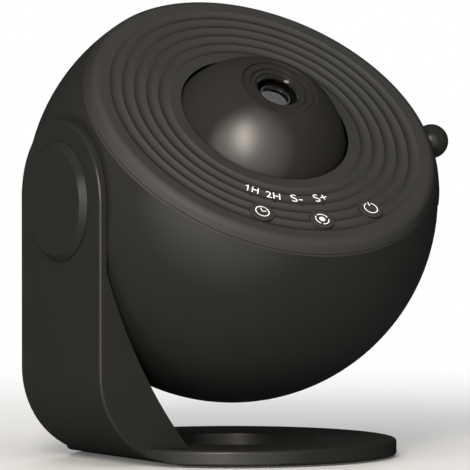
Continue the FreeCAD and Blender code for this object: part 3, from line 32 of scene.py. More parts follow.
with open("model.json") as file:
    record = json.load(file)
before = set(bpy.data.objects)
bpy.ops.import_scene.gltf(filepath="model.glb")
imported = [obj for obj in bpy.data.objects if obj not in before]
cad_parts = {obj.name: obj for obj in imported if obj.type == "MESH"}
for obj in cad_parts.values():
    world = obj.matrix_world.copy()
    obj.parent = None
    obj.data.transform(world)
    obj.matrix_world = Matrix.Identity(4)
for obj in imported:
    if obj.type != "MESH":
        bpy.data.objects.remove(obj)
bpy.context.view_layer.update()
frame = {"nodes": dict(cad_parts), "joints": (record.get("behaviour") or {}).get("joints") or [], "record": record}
NODES = frame["nodes"]
JOINTS = {j["name"]: j for j in frame["joints"]}

MM = 0.001
CENTRE = Vector(JOINTS["dome_turn"]["pos_m"])
AXIS = Vector(JOINTS["dome_turn"]["axis"]).normalized()
ACROSS = Vector((1, 0, 0))
UPFACE = AXIS.cross(ACROSS)
FACE_TURN = Matrix((ACROSS, UPFACE, AXIS)).transposed().to_4x4()
HEAD = Matrix.Translation(CENTRE) @ FACE_TURN @ Matrix.Scale(MM, 4)


def head_box(node):
    """Lowest and highest corner of a node in the head frame."""
    back = HEAD.inverted()
    points = [back @ v.co for v in NODES[node].data.vertices]
    return [Vector([pick(p[i] for p in points) for i in range(3)]) for pick in (min, max)]


COVER_LOW, COVER_HIGH = head_box("front_cover")
DOME_LOW, DOME_HIGH = head_box("lens_dome")

# ---- head sizes, mm ----------------------------------------------------------------------
BALL_R = head_box("rear_shell")[1].y
FACE_Z = COVER_HIGH.z
FACE_R = math.sqrt(BALL_R ** 2 - FACE_Z ** 2)
SEAM_DROP = 4.1           # seam between the cover and the rear shell, below the face
SEAM_Z = FACE_Z - SEAM_DROP
COVER_T = 2.4             # plate behind the face
PLATE_Z = FACE_Z - COVER_T
LIP_T = 1.5               # locating lip inside the rear shell
LIP_IN = 2.4              # the lip is this far inside the ball's surface at the seam
LIP_H = 2.2
RIM_ROUND = 3.3           # fillet round the face
LINE_DROP = 3.6           # parting line, below the face
LINE_W = 0.22
LINE_DEPTH = 0.35
SHELL_GAP = 0.2           # the cover's skin reaches this far past the seam, to the rear shell
RIM_LAND = 5.1            # flat border between the rim and the grooves
DOME_LAND = 3.8           # flat border between the grooves and the dome
GROOVE_COUNT = 5
GROOVE_DEPTH = 0.54
RIDGE_FLAT = 0.3          # width of the ridges between grooves
RIDGE_ROUND = 0.12        # height over which a ridge's edges are rounded
DOME_INSET = 27.5         # dome's radius, less than the face's
DOME_R = FACE_R - DOME_INSET
DOME_TOP_R = 13.2         # edge of the dome's flat top
DOME_Z = DOME_HIGH.z - math.sqrt(DOME_R ** 2 - DOME_TOP_R ** 2)
DOME_GAP = 1.0            # between the dome and the cover
DOME_WALL = 2.0
DOME_TOP_T = 2.8
MOUTH_LAND = 0.9          # flat border round the mouth
FUNNEL_R = DOME_TOP_R - MOUTH_LAND
FUNNEL_STEPS = 3
FUNNEL_SHRINK = 0.7       # width of each step as a share of the one outside it
FUNNEL_DEPTH = 1.1
PUPIL_R = 6.5
STEP_ROUND = 0.08         # rounding of the steps' edges
RELIEF = 0.3              # narrow groove at the foot of each step
MOUTH_CONE = 0.8          # polished cone round the bore
BORE_EDGE = 0.01          # faces that end this little outside the cone take its polish and painted shade
COLLAR_DROP = 2.4         # collar round the dome's opening, below the plate
COLLAR_T = 1.6
SLEEVE_IN_R = 12.12       # sleeve inside the dome
SLEEVE_T = 1.5
SLEEVE_LOW_Z = 30.0
POST_XY = 32.5            # posts for the shell's screws
POST_R = 3.6
DECK_TOP_Z = 26.6         # lens deck, and the bosses and ears that hold it
DECK_BOSS_R = 2.6
KEY_BOARD_TOP_Z = 26.4
KEY_BOARD_GAP = 0.8       # inner edge of the key board to the deck
KEY_BOSS_R = 2.3
KEY_BOSS_ANGLES = (-102.5, -77.5)
BOSS_BED = 0.5            # posts and bosses run this far into the plate
DECK_BOSS_ANGLES = (45, 135, 225, 315)
DECK_EAR_R = 3.8

GROOVE_OUT_R = FACE_R - RIM_LAND
GROOVE_IN_R = math.sqrt((DOME_R + DOME_GAP) ** 2 - (FACE_Z - DOME_Z) ** 2) + DOME_LAND
GROOVE_PITCH = (GROOVE_OUT_R - GROOVE_IN_R) / GROOVE_COUNT
COLLAR_Z = PLATE_Z - COLLAR_DROP
COLLAR_R = math.sqrt((DOME_R + DOME_GAP) ** 2 - (COLLAR_Z - DOME_Z) ** 2) + COLLAR_T
DECK_BOSS_PCD_R = COLLAR_R + DECK_BOSS_R - BOSS_BED
KEY_BOARD_IN_R = DECK_BOSS_PCD_R + DECK_EAR_R + KEY_BOARD_GAP

# ---- fineness of the meshes --------------------------------------------------------------
ROUND_STEPS = 288         # divisions round the head's axis
ROD_STEPS = 48            # round a post, a boss or a button's hole
SMALL_STEPS = 24          # round an indicator's hole or a dot
BAND_STEPS = 48           # along a printed band
RIM_STEPS = 16            # across the fillet round the face
GROOVE_STEPS = 24         # across one groove
DOME_STEPS = 64           # from the foot of the dome to its flat top
INSIDE_STEPS = 24         # the same inside the dome
EDGE_STEPS = 6            # on the short arcs at the seam and in the dome's opening
SIDE_STEPS = 4            # on the cover's side above the parting line
BEVEL_STEPS = 3
CREASE = 32               # degrees: edges sharper than this stay crisp
COVER_CREASE = 40         # the same on the cover, whose ridges are rounded by the grid
STEP_ANGLE = 24           # degrees: edges of the dome sharper than this are rounded
POINT_R = 1e-6            # mm: a ring smaller than this is one point
FINE_WELD = 0.001         # mm: points nearer than this become one
RIM_WELD = 0.004          # mm: where the grid of grooves meets the rest of the cover
NODE_WELD = 1e-7          # m: corners of the solids of a node

# ---- screws: mm, and shares of a screw's own head ----------------------------------------
THREAD_PITCH = 0.8
THREAD_MAX = 14.0         # longest thread on a screw
THREAD_CUT = 0.2          # depth of the thread as a share of the shank's radius
THREAD_STEPS = 6          # divisions in one turn of the thread
SCREW_STEPS = 32          # divisions round a screw
CROWN_STEPS = 6
CROWN_TAPER = 0.22        # how much narrower the head is at its crown
CROWN_POWER = 3.0         # how late the head narrows
RECESS_LONG = 1.15        # the cross: length and width by the head's radius, depth by its height
RECESS_WIDE = 0.3
RECESS_DEEP = 1.1
RIM_SHARE = 0.97          # a corner further out than this share is on the head's rim
END_ZONE = 0.2            # height over which a shank's end is measured
SPIN_SEED = 5             # for how far each screw was turned when it was driven home

# ---- view, degrees and ball radii --------------------------------------------------------
VIEW_AZIMUTH = -29.858
VIEW_ELEVATION = 3.135
VIEW_DISTANCE = 44.2
VIEW_RIGHT = 0.016
VIEW_UP = -0.187
LENS_MM = 698.4
SENSOR_MM = 36.0

# ---- studio, metres and watts ------------------------------------------------------------
NEAREST, FURTHEST = 0.1, 60.0
FLOOR_R = 40.0
FLOOR_Z = -0.0002         # just under the foot ring
PAPER_TONE = "#D8D8D8"
PAPER_GLOW = 0.08         # share of plain white in the paper at the object's foot
PAPER_FADE = (0.1, 0.45)  # distances between which the paper turns plain white
WORLD_LIGHT = 0.2
WARM, WHITE = "#FFF6E6", "#FFFFFF"
# name, direction, distance, width, height, power, colour
LAMPS = (("key", (-0.59, -0.71, 0.37), 1.5, 0.35, 0.9, 22.0, WARM),
         ("low", (-0.62, -0.78, 0.07), 1.5, 0.3, 0.2, 2.5, WARM),
         ("side", (-0.93, -0.25, 0.3), 1.5, 0.5, 0.9, 4.5, WHITE),
         ("top", (-0.1, -0.3, 0.95), 1.4, 0.9, 0.9, 6.5, WHITE),
         ("back", (0.42, 0.86, 0.35), 1.6, 0.8, 0.8, 17.0, WHITE))

# ---- marks, mm and degrees on the face ---------------------------------------------------
BUTTON_HOLE_R = 4.2
BUTTON_INSET = 10.5       # middle of a button, from the face's edge
BUTTON_PCD_R = FACE_R - BUTTON_INSET
KEY_BOSS_STEP = 1.5       # bosses of the key board, outside the buttons' circle
KEY_BOSS_PCD_R = BUTTON_PCD_R + KEY_BOSS_STEP
BUTTON_ANGLES = {"timer_button": -115.0, "mode_button": -90.0, "power_button": -65.0}
INDICATOR_HOLE_R = 0.65
INDICATOR_STEP = 1.8      # indicator holes, outside the key board's inner edge
INDICATOR_PCD_R = KEY_BOARD_IN_R + INDICATOR_STEP
INDICATOR_ANGLES = (-120.5, -109.4, -95.8, -84.6)
# text, place, and how wide and high it is as a share of LABEL_HEIGHT
LABELS = (("1H", -19.1, -32.5, 0.78, 0.88), ("2H", -12.7, -35.8, 0.85, 0.88),
          ("S-", -4.85, -37.5, 1.08, 1.0), ("S+", 4.0, -37.5, 1.0, 1.0))
LABEL_HEIGHT = 3.4
LETTER_SPACING = 1.06
FLAG_OUT = 0.16           # the flag of the figure 1, in the font's own units
FLAG_IN = 0.06
FLAG_LINE = 0.085
FLAG_HEIGHTS = (0.3, 0.44)  # of its two ends, as shares of the figure's height
DICE_WIDE, DICE_HIGH, DICE_COUNT = 0.35, 0.2, 10    # cells of a label, and cuts on each side
ICON_R = 2.42             # outside of the ring in a button's mark
ICON_LINE = 0.34
MINUTE_HAND, HOUR_HAND, HAND_TAIL = 1.7, 1.5, 0.1
LIGHT_R = 1.05            # middle of the turning light, three bands round it with a dot each
BAND_STARTS, BAND_SPAN, BAND_DOT_R = (25, 145, 265), 92, 0.3
POWER_SPAN = (112, 428)   # the power mark's open ring, and its bar
POWER_BAR = (1.0, 2.75)
DOT_EYE_R = 0.02          # a dot is a ring with so small an eye
INK_T = 0.03              # printed ink above the plastic
SETTLE_STEPS = 30         # rounds of finding where the slanted pad meets a groove


# ---- small helpers -----------------------------------------------------------------------
def linear(hexa):
    """Linear colour of an sRGB hex value."""
    parts = [int(hexa[i:i + 2], 16) / 255 for i in (1, 3, 5)]
    return tuple(c / 12.92 if c <= 0.04045 else ((c + 0.055) / 1.055) ** 2.4 for c in parts) + (1.0,)


def add(tree, kind, wires=None, **settings):
    """A node with its settings. wires gives an input a value or another node's output."""
    made = tree.nodes.new(kind)
    for name, value in settings.items():
        setattr(made, name, value)
    for key, value in (wires or {}).items():
        socket = made.inputs[key]
        if isinstance(value, bpy.types.NodeSocket):
            tree.links.new(value, socket)
        else:
            socket.default_value = value
    return made


def sphere_r(radius, z, centre=0.0):
    return math.sqrt(radius ** 2 - (z - centre) ** 2)


def arc(radius, centre_z, z0, z1, steps):
    """Points (r, z) on a sphere's section from height z0 to z1, both ends included."""
    a0, a1 = (math.asin((z - centre_z) / radius) for z in (z0, z1))
    turns = [a0 + (a1 - a0) * i / steps for i in range(steps + 1)]
    return [(radius * math.cos(a), centre_z + radius * math.sin(a)) for a in turns]


def polar(radius, degrees):
    a = math.radians(degrees)
    return radius * math.cos(a), radius * math.sin(a)


def towards_reader():
    """Direction from the object to someone who looks at it from the main view."""
    a, e = math.radians(VIEW_AZIMUTH), math.radians(VIEW_ELEVATION)
    return Vector((math.sin(a) * math.cos(e), -math.cos(a) * math.cos(e), math.sin(e)))


def pad_slant():
    """The pad that prints the labels comes from the reader's side, so they read straight from there."""
    x, y, z = HEAD.inverted().to_3x3() @ towards_reader()
    return -x / z, -y / z


# ---- meshes ------------------------------------------------------------------------------
def linked(name, data):
    """A new object in the scene."""
    obj = bpy.data.objects.new(name, data)
    bpy.context.scene.collection.objects.link(obj)
    return obj


def plain(obj):
    """Mesh of an object as its modifiers leave it."""
    return bpy.data.meshes.new_from_object(obj.evaluated_get(bpy.context.evaluated_depsgraph_get()))


def written(bm, name):
    """Mesh of a bmesh, which is freed."""
    mesh = bpy.data.meshes.new(name)
    bm.to_mesh(mesh)
    bm.free()
    return mesh


def piece(name, mesh, body, material, node=None, second=None):
    """Puts a finished mesh in the scene: it rides on a body and may stand for a node.

    second is another finish, which the mesh's faces of material index 1 take.
    """
    mesh.name = name
    obj = linked(name, mesh)
    finishes = [0] * len(mesh.polygons)
    mesh.polygons.foreach_get("material_index", finishes)
    mesh.materials.clear()
    mesh.materials.append(material)
    if second:
        mesh.materials.append(second)
        mesh.polygons.foreach_set("material_index", finishes)
    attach(obj, body)
    if node:
        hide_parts(node)
    return obj


def solved(mesh, *modifiers):
    """The mesh with modifiers applied. Each is (type, settings)."""
    obj = linked("work", mesh)
    for kind, settings in modifiers:
        modifier = obj.modifiers.new(kind.lower(), kind)
        for name, value in settings.items():
            setattr(modifier, name, value)
    result = plain(obj)
    bpy.data.objects.remove(obj)
    return result


def smooth(mesh, degrees=CREASE):
    """Smooth shading with edges sharper than this kept crisp."""
    mesh.shade_smooth()
    mesh.set_sharp_from_angle(angle=math.radians(degrees))
    return solved(mesh, ("WEIGHTED_NORMAL", {"keep_sharp": True, "mode": "FACE_AREA_WITH_ANGLE"}))


def lathe(profile, closed=True, steps=ROUND_STEPS):
    """Mesh turned about the Z axis from (radius, height) points, faces outwards."""
    bm = bmesh.new()
    rings = []
    for r, z in profile:
        if r < POINT_R:
            rings.append([bm.verts.new((0, 0, z))] * steps)
        else:
            rings.append([bm.verts.new((*polar(r, 360 * k / steps), z)) for k in range(steps)])
    pairs = list(zip(rings, rings[1:])) + ([(rings[-1], rings[0])] if closed else [])
    for low, high in pairs:
        for k in range(steps):
            corners = [low[k], low[k - 1], high[k - 1], high[k]]
            corners = [v for i, v in enumerate(corners) if v not in corners[:i]]
            if len(corners) > 2:
                bm.faces.new(corners)
    bmesh.ops.recalc_face_normals(bm, faces=bm.faces)
    return written(bm, "lathe")


def rod(radius, z0, z1, x=0.0, y=0.0, steps=ROD_STEPS):
    """Closed cylinder in the head frame."""
    mesh = lathe([(0, z0), (radius, z0), (radius, z1), (0, z1)], closed=False, steps=steps)
    mesh.transform(Matrix.Translation((x, y, 0)))
    return mesh


def joined(*meshes):
    bm = bmesh.new()
    for mesh in meshes:
        bm.from_mesh(mesh)
    return written(bm, "joined")


def cut(mesh, cutter):
    """The mesh less the cutter."""
    tool = linked("cutter", cutter)
    result = solved(mesh, ("BOOLEAN", {"object": tool, "operation": "DIFFERENCE", "solver": "EXACT"}))
    bpy.data.objects.remove(tool)
    return result


def placed(mesh, matrix=HEAD):
    mesh.transform(matrix)
    return mesh


# ---- finishes ----------------------------------------------------------------------------
MIX_A, MIX_B, MIX_OUT = 6, 7, 2   # a Mix node's sockets for colours
PATCH_MM = 1000 / 45      # patches of a faintly uneven tone, 45 to the metre
PATCH_GLOSS = 0.03        # how far the patches move the roughness each way
MARK_GLOSS = 0.08         # the same for marks of machining
DUST_MM = 1000 / 900      # specks of dust on clear resin, 900 to the metre
DUST_FROM, DUST_TO = 0.55, 0.8    # levels of the noise between which a speck grows rough
DUST_GLOSS = 0.05
# spacing of the film's stars in mm, and a star's size as a share of it: real pinholes are
# finer and would not show
STARS = ((0.9, 0.10), (1.7, 0.13), (3.6, 0.11))
FILM_DARK, FILM_CLEAR, FILM_GLOSS = "#0B0E16", "#D8DEE8", 0.18
# Satin skin of moulded ABS: its roughness, its IOR, and the slants between which its shine goes.
SHELL_SKIN = (0.355, 1.42, 0.0, 0.13)
COVER_SKIN = (0.58, 1.37, 0.0, 0.7)
DOME_SKIN = (0.385, 1.55, 0.0, 0.14)


def new_material(name):
    """Empty material, its node tree, and the place of a point on its piece in metres."""
    material = bpy.data.materials.new(name)
    material.use_nodes = True
    tree = material.node_tree
    tree.nodes.clear()
    return material, tree, add(tree, "ShaderNodeTexCoord").outputs["Object"]


def moulded(name, colour, roughness, grain_mm, relief_mm, mottle=0.08, specular=0.5, skin=None):
    """Moulded plastic: an eroded grain from the tool, and a faint unevenness of tone.

    A real grain of 0.05 to 0.1 mm is too fine to show, so grain_mm is as coarse as it needs
    to be. skin is a satin skin that shines where it is seen square on. The grain hides the
    mirror at a slant, so the shine goes there.
    """
    material, tree, place = new_material(name)
    grain = add(tree, "ShaderNodeTexNoise", {
        "Vector": place, "Scale": 1 / (grain_mm * MM), "Detail": 3.0})
    patches = add(tree, "ShaderNodeTexNoise", {
        "Vector": place, "Scale": 1 / (PATCH_MM * MM), "Detail": 2.0})
    tone = add(tree, "ShaderNodeMapRange", {
        "Value": patches.outputs["Fac"], "To Min": 1 - mottle, "To Max": 1 + mottle})
    base = add(tree, "ShaderNodeMix", {
        "Factor": 1.0, MIX_A: linear(colour), MIX_B: tone.outputs["Result"]},
        data_type="RGBA", blend_type="MULTIPLY")
    gloss = add(tree, "ShaderNodeMapRange", {
        "Value": patches.outputs["Fac"],
        "To Min": roughness - PATCH_GLOSS, "To Max": roughness + PATCH_GLOSS})
    relief = add(tree, "ShaderNodeBump", {
        "Height": grain.outputs["Fac"], "Distance": relief_mm * MM, "Strength": 0.5})
    shader = add(tree, "ShaderNodeBsdfPrincipled", {
        "Base Color": base.outputs[MIX_OUT], "Roughness": gloss.outputs["Result"],
        "Normal": relief.outputs["Normal"], "Specular IOR Level": specular})
    if skin:
        skin_roughness, skin_ior, shiny_to, dull_from = skin
        slant = add(tree, "ShaderNodeLayerWeight", {"Blend": 0.5}).outputs["Facing"]
        weight = add(tree, "ShaderNodeMapRange", {
            "Value": slant, "From Min": shiny_to, "From Max": dull_from, "To Min": 1.0, "To Max": 0.0},
            interpolation_type="SMOOTHSTEP")
        tree.links.new(weight.outputs["Result"], shader.inputs["Coat Weight"])
        tree.links.new(relief.outputs["Normal"], shader.inputs["Coat Normal"])
        shader.inputs["Coat Roughness"].default_value = skin_roughness
        shader.inputs["Coat IOR"].default_value = skin_ior
    add(tree, "ShaderNodeOutputMaterial", {"Surface": shader.outputs["BSDF"]})
    return material


def metal(name, colour, roughness, grain_mm):
    """Plated or turned metal with machining marks, drawn coarser than real ones so they show."""
    material, tree, place = new_material(name)
    marks = add(tree, "ShaderNodeTexNoise", {
        "Vector": place, "Scale": 1 / (grain_mm * MM), "Detail": 4.0})
    gloss = add(tree, "ShaderNodeMapRange", {
        "Value": marks.outputs["Fac"],
        "To Min": roughness - MARK_GLOSS, "To Max": roughness + MARK_GLOSS})
    shader = add(tree, "ShaderNodeBsdfPrincipled", {
        "Base Color": linear(colour), "Metallic": 1.0, "Roughness": gloss.outputs["Result"]})
    add(tree, "ShaderNodeOutputMaterial", {"Surface": shader.outputs["BSDF"]})
    return material


def clear(name, colour, roughness, ior):
    """Clear glass or resin."""
    material, tree, place = new_material(name)
    dust = add(tree, "ShaderNodeTexNoise", {
        "Vector": place, "Scale": 1 / (DUST_MM * MM), "Detail": 2.0})
    gloss = add(tree, "ShaderNodeMapRange", {
        "Value": dust.outputs["Fac"], "From Min": DUST_FROM, "From Max": DUST_TO,
        "To Min": roughness, "To Max": roughness + DUST_GLOSS})
    shader = add(tree, "ShaderNodeBsdfPrincipled", {
        "Base Color": linear(colour), "Roughness": gloss.outputs["Result"], "IOR": ior,
        "Transmission Weight": 1.0})
    add(tree, "ShaderNodeOutputMaterial", {"Surface": shader.outputs["BSDF"]})
    return material


# Satin ABS with a fine spark-eroded grain: soft, wide highlights on near-black grey.
CHARCOAL_ABS = moulded("charcoal_satin_abs", "#282827", 0.6, 0.45, 0.004, specular=0.0, skin=SHELL_SKIN)
# The same resin on the grooved face, whose tool was blasted more finely. Its colour, lighter than the shell's, is
# painted light from above.
COVER_ABS_PAINTED_LIGHT = moulded("charcoal_face_abs", "#2D2C2B", 0.6, 0.4, 0.003, specular=0.0, skin=COVER_SKIN)
# The same resin on the turning dome, buffed a little by hands.
DOME_ABS = moulded("charcoal_dome_abs", "#2A2928", 0.6, 0.45, 0.003, specular=0.0, skin=DOME_SKIN)
# The same resin where a polished core pin shaped it: a black, mirror-smooth bore. Its colour, far darker than the
# shell's, is painted shade in the recess.
POLISHED_ABS_PAINTED_SHADE = moulded("polished_bore_abs", "#141311", 0.13, 0.45, 0.0005, mottle=0.03, specular=0.16)
# The same resin on the buttons, a touch smoother from their own tool. Their colour, lighter than the shell's like
# the face's, is painted light from above.
BUTTON_ABS_PAINTED_LIGHT = moulded("button_abs", "#2D2C2B", 0.55, 0.4, 0.002, specular=0.0, skin=COVER_SKIN)
# Inner mouldings, unpainted black ABS: a plain, dull shine.
INNER_ABS = moulded("inner_black_abs", "#232323", 0.5, 0.6, 0.006)
# Turned acetal lens tube: darker and glossier, so its bore shows a bright streak.
BLACK_ACETAL = moulded("black_acetal", "#141413", 0.22, 0.5, 0.001, mottle=0.04)
# Natural nylon of the gears: milky and waxy.
NATURAL_NYLON = moulded("natural_nylon", "#DCD8CC", 0.42, 0.5, 0.003, mottle=0.03)
# Foot rubber: matt, with a slightly dusty grain.
FOOT_RUBBER = moulded("foot_rubber", "#1B1B1A", 0.75, 0.5, 0.02, mottle=0.15)
# Pad-printed white ink: flat and even.
WHITE_INK = moulded("white_pad_ink", "#FAFAF8", 0.5, 0.3, 0.001, mottle=0.02)
# Smoked acrylic of the indicator pins: nearly black while no lamp is lit behind it.
SMOKED_ACRYLIC = moulded("smoked_acrylic", "#101011", 0.3, 0.8, 0.0005, mottle=0.03, specular=0.1)
# Epoxy-glass circuit board under green solder mask: smooth and deep green.
CIRCUIT_BOARD = moulded("solder_mask", "#1E5A33", 0.3, 1.0, 0.004)
# Yellow phosphor and silicone of the LEDs: bright, with a small sharp shine.
LED_RESIN = moulded("led_phosphor", "#E8C64A", 0.25, 0.6, 0.001, mottle=0.05)
# Bright zinc plate on steel screws, washers and ballast: grey and slightly dull.
ZINC_STEEL = metal("zinc_plated_steel", "#B9BABC", 0.32, 0.6)
# Milled aluminium of the heat sink: pale, with a matt sheen.
ALUMINIUM = metal("milled_aluminium", "#C9CBCE", 0.38, 0.4)
# Turned brass: warm yellow with a soft shine.
BRASS = metal("turned_brass", "#C9A55B", 0.28, 0.4)
# Moulded acrylic lenses: clear, with a faint cool cast.
LENS_GLASS = clear("lens_acrylic", "#DCDCE4", 0.0, 1.46)


def film_with_stars():
    """Dark photographic film: black with clear pinholes for stars of three sizes."""
    material, tree, place = new_material("star_film")
    bright = None
    for spacing, size in STARS:
        cells = add(tree, "ShaderNodeTexVoronoi", {"Vector": place, "Scale": 1 / (spacing * MM)})
        dots = add(tree, "ShaderNodeMapRange", {
            "Value": cells.outputs["Distance"], "From Min": size, "From Max": size * 0.5})
        spots = dots.outputs["Result"]
        bright = spots if bright is None else add(
            tree, "ShaderNodeMath", {0: bright, 1: spots}, operation="MAXIMUM").outputs["Value"]
    base = add(tree, "ShaderNodeMix", {
        "Factor": bright, MIX_A: linear(FILM_DARK), MIX_B: linear(FILM_CLEAR)}, data_type="RGBA")
    shader = add(tree, "ShaderNodeBsdfPrincipled", {
        "Base Color": base.outputs[MIX_OUT], "Roughness": FILM_GLOSS})
    add(tree, "ShaderNodeOutputMaterial", {"Surface": shader.outputs["BSDF"]})
    return material


STAR_FILM = film_with_stars()

SLOT_FINISH = {
    "charcoal_plastic": CHARCOAL_ABS, "button_plastic": BUTTON_ABS_PAINTED_LIGHT, "inner_plastic": INNER_ABS,
    "barrel_plastic": BLACK_ACETAL, "gear_nylon": NATURAL_NYLON, "lens_glass": LENS_GLASS,
    "film": STAR_FILM, "indicator_lens": SMOKED_ACRYLIC, "led_resin": LED_RESIN,
    "circuit_board": CIRCUIT_BOARD, "aluminium": ALUMINIUM, "brass": BRASS, "steel": ZINC_STEEL,
    "foot_rubber": FOOT_RUBBER,
}


def finish_nodes():
    """Every carried-over node takes the finish of its material slot."""
    for part in frame["record"]["subparts"]:
        mesh = NODES[part["node"]].data
        mesh.materials.clear()
        mesh.materials.append(SLOT_FINISH[part["material_slot"]])


# ---- Geometry Nodes ----------------------------------------------------------------------
def geometry_tree(name, counts, lengths):
    """Empty tree with named inputs. Gives the tree, its inputs and a function for formulas."""
    tree = bpy.data.node_groups.new(name, "GeometryNodeTree")
    tree.interface.new_socket("Geometry", in_out="INPUT", socket_type="NodeSocketGeometry")
    wanted = [(label, "NodeSocketInt") for label in counts]
    wanted += [(label, "NodeSocketFloat") for label in lengths] + [("Material", "NodeSocketMaterial")]
    for label, kind in wanted:
        tree.interface.new_socket(label, in_out="INPUT", socket_type=kind)
    tree.interface.new_socket("Geometry", in_out="OUTPUT", socket_type="NodeSocketGeometry")

    def calc(operation, *values):
        """Works out a formula. A value may be a formula itself, as (operation, value, ...)."""
        values = [calc(*value) if isinstance(value, tuple) else value for value in values]
        return add(tree, "ShaderNodeMath", dict(enumerate(values)), operation=operation).outputs["Value"]

    return tree, add(tree, "NodeGroupInput").outputs, calc


def place_of(tree):
    """X, Y and Z of the points that a tree works on."""
    place = add(tree, "GeometryNodeInputPosition").outputs[0]
    return add(tree, "ShaderNodeSeparateXYZ", {0: place}).outputs


def moved(tree, mesh, x, y, z):
    """The mesh with its points at new places."""
    there = add(tree, "ShaderNodeCombineXYZ", {"X": x, "Y": y, "Z": z}).outputs[0]
    return add(tree, "GeometryNodeSetPosition", {"Geometry": mesh, "Position": there}).outputs[0]


def ended(tree, geometry, material):
    """The tree with its end: real geometry in one finish."""
    real = add(tree, "GeometryNodeRealizeInstances", {"Geometry": geometry})
    dressed = add(tree, "GeometryNodeSetMaterial", {"Geometry": real.outputs[0], "Material": material})
    add(tree, "NodeGroupOutput", {"Geometry": dressed.outputs[0]})
    return tree


def groove_tree():
    """Ring of concave grooves: a grid bent round the axis, its depth worked out from the radius."""
    tree, given, calc = geometry_tree(
        "grooved_ring", ("Count", "Groove Divisions", "Divisions Round"),
        ("Outer Radius", "Pitch", "Depth", "Ridge", "Ridge Round", "Face Height"))
    across = calc("ADD", ("MULTIPLY", given["Count"], given["Groove Divisions"]), 1)
    around = calc("ADD", given["Divisions Round"], 1)
    grid = add(tree, "GeometryNodeMeshGrid", {
        "Size X": 1.0, "Size Y": 1.0, "Vertices X": across, "Vertices Y": around})
    spot = place_of(tree)
    inwards = calc("MULTIPLY", ("ADD", spot["X"], 0.5), given["Count"])
    turn = calc("MULTIPLY", ("ADD", spot["Y"], 0.5), 2 * math.pi)
    radius = calc("SUBTRACT", given["Outer Radius"], ("MULTIPLY", inwards, given["Pitch"]))
    # a groove is an arc of this radius, whose chord is the pitch less the flat of its ridge
    chord = calc("SUBTRACT", given["Pitch"], given["Ridge"])
    half = calc("MULTIPLY", chord, 0.5)
    squares = calc("ADD", ("MULTIPLY", half, half), ("MULTIPLY", given["Depth"], given["Depth"]))
    bend = calc("DIVIDE", squares, ("MULTIPLY", given["Depth"], 2))
    from_middle = calc("MULTIPLY", ("SUBTRACT", ("FRACT", inwards), 0.5), given["Pitch"])
    inside = calc("SUBTRACT", ("MULTIPLY", bend, bend), ("MULTIPLY", from_middle, from_middle))
    sag = calc("SUBTRACT", ("SQRT", inside), ("SUBTRACT", bend, given["Depth"]))
    sunk = calc("SMOOTH_MAX", sag, 0.0, given["Ridge Round"])
    height = calc("SUBTRACT", given["Face Height"], sunk)
    bent = moved(tree, grid.outputs["Mesh"], calc("MULTIPLY", radius, ("COSINE", turn)),
                 calc("MULTIPLY", radius, ("SINE", turn)), height)
    welded = add(tree, "GeometryNodeMergeByDistance", {"Geometry": bent, "Distance": FINE_WELD})
    return ended(tree, welded.outputs[0], given["Material"])


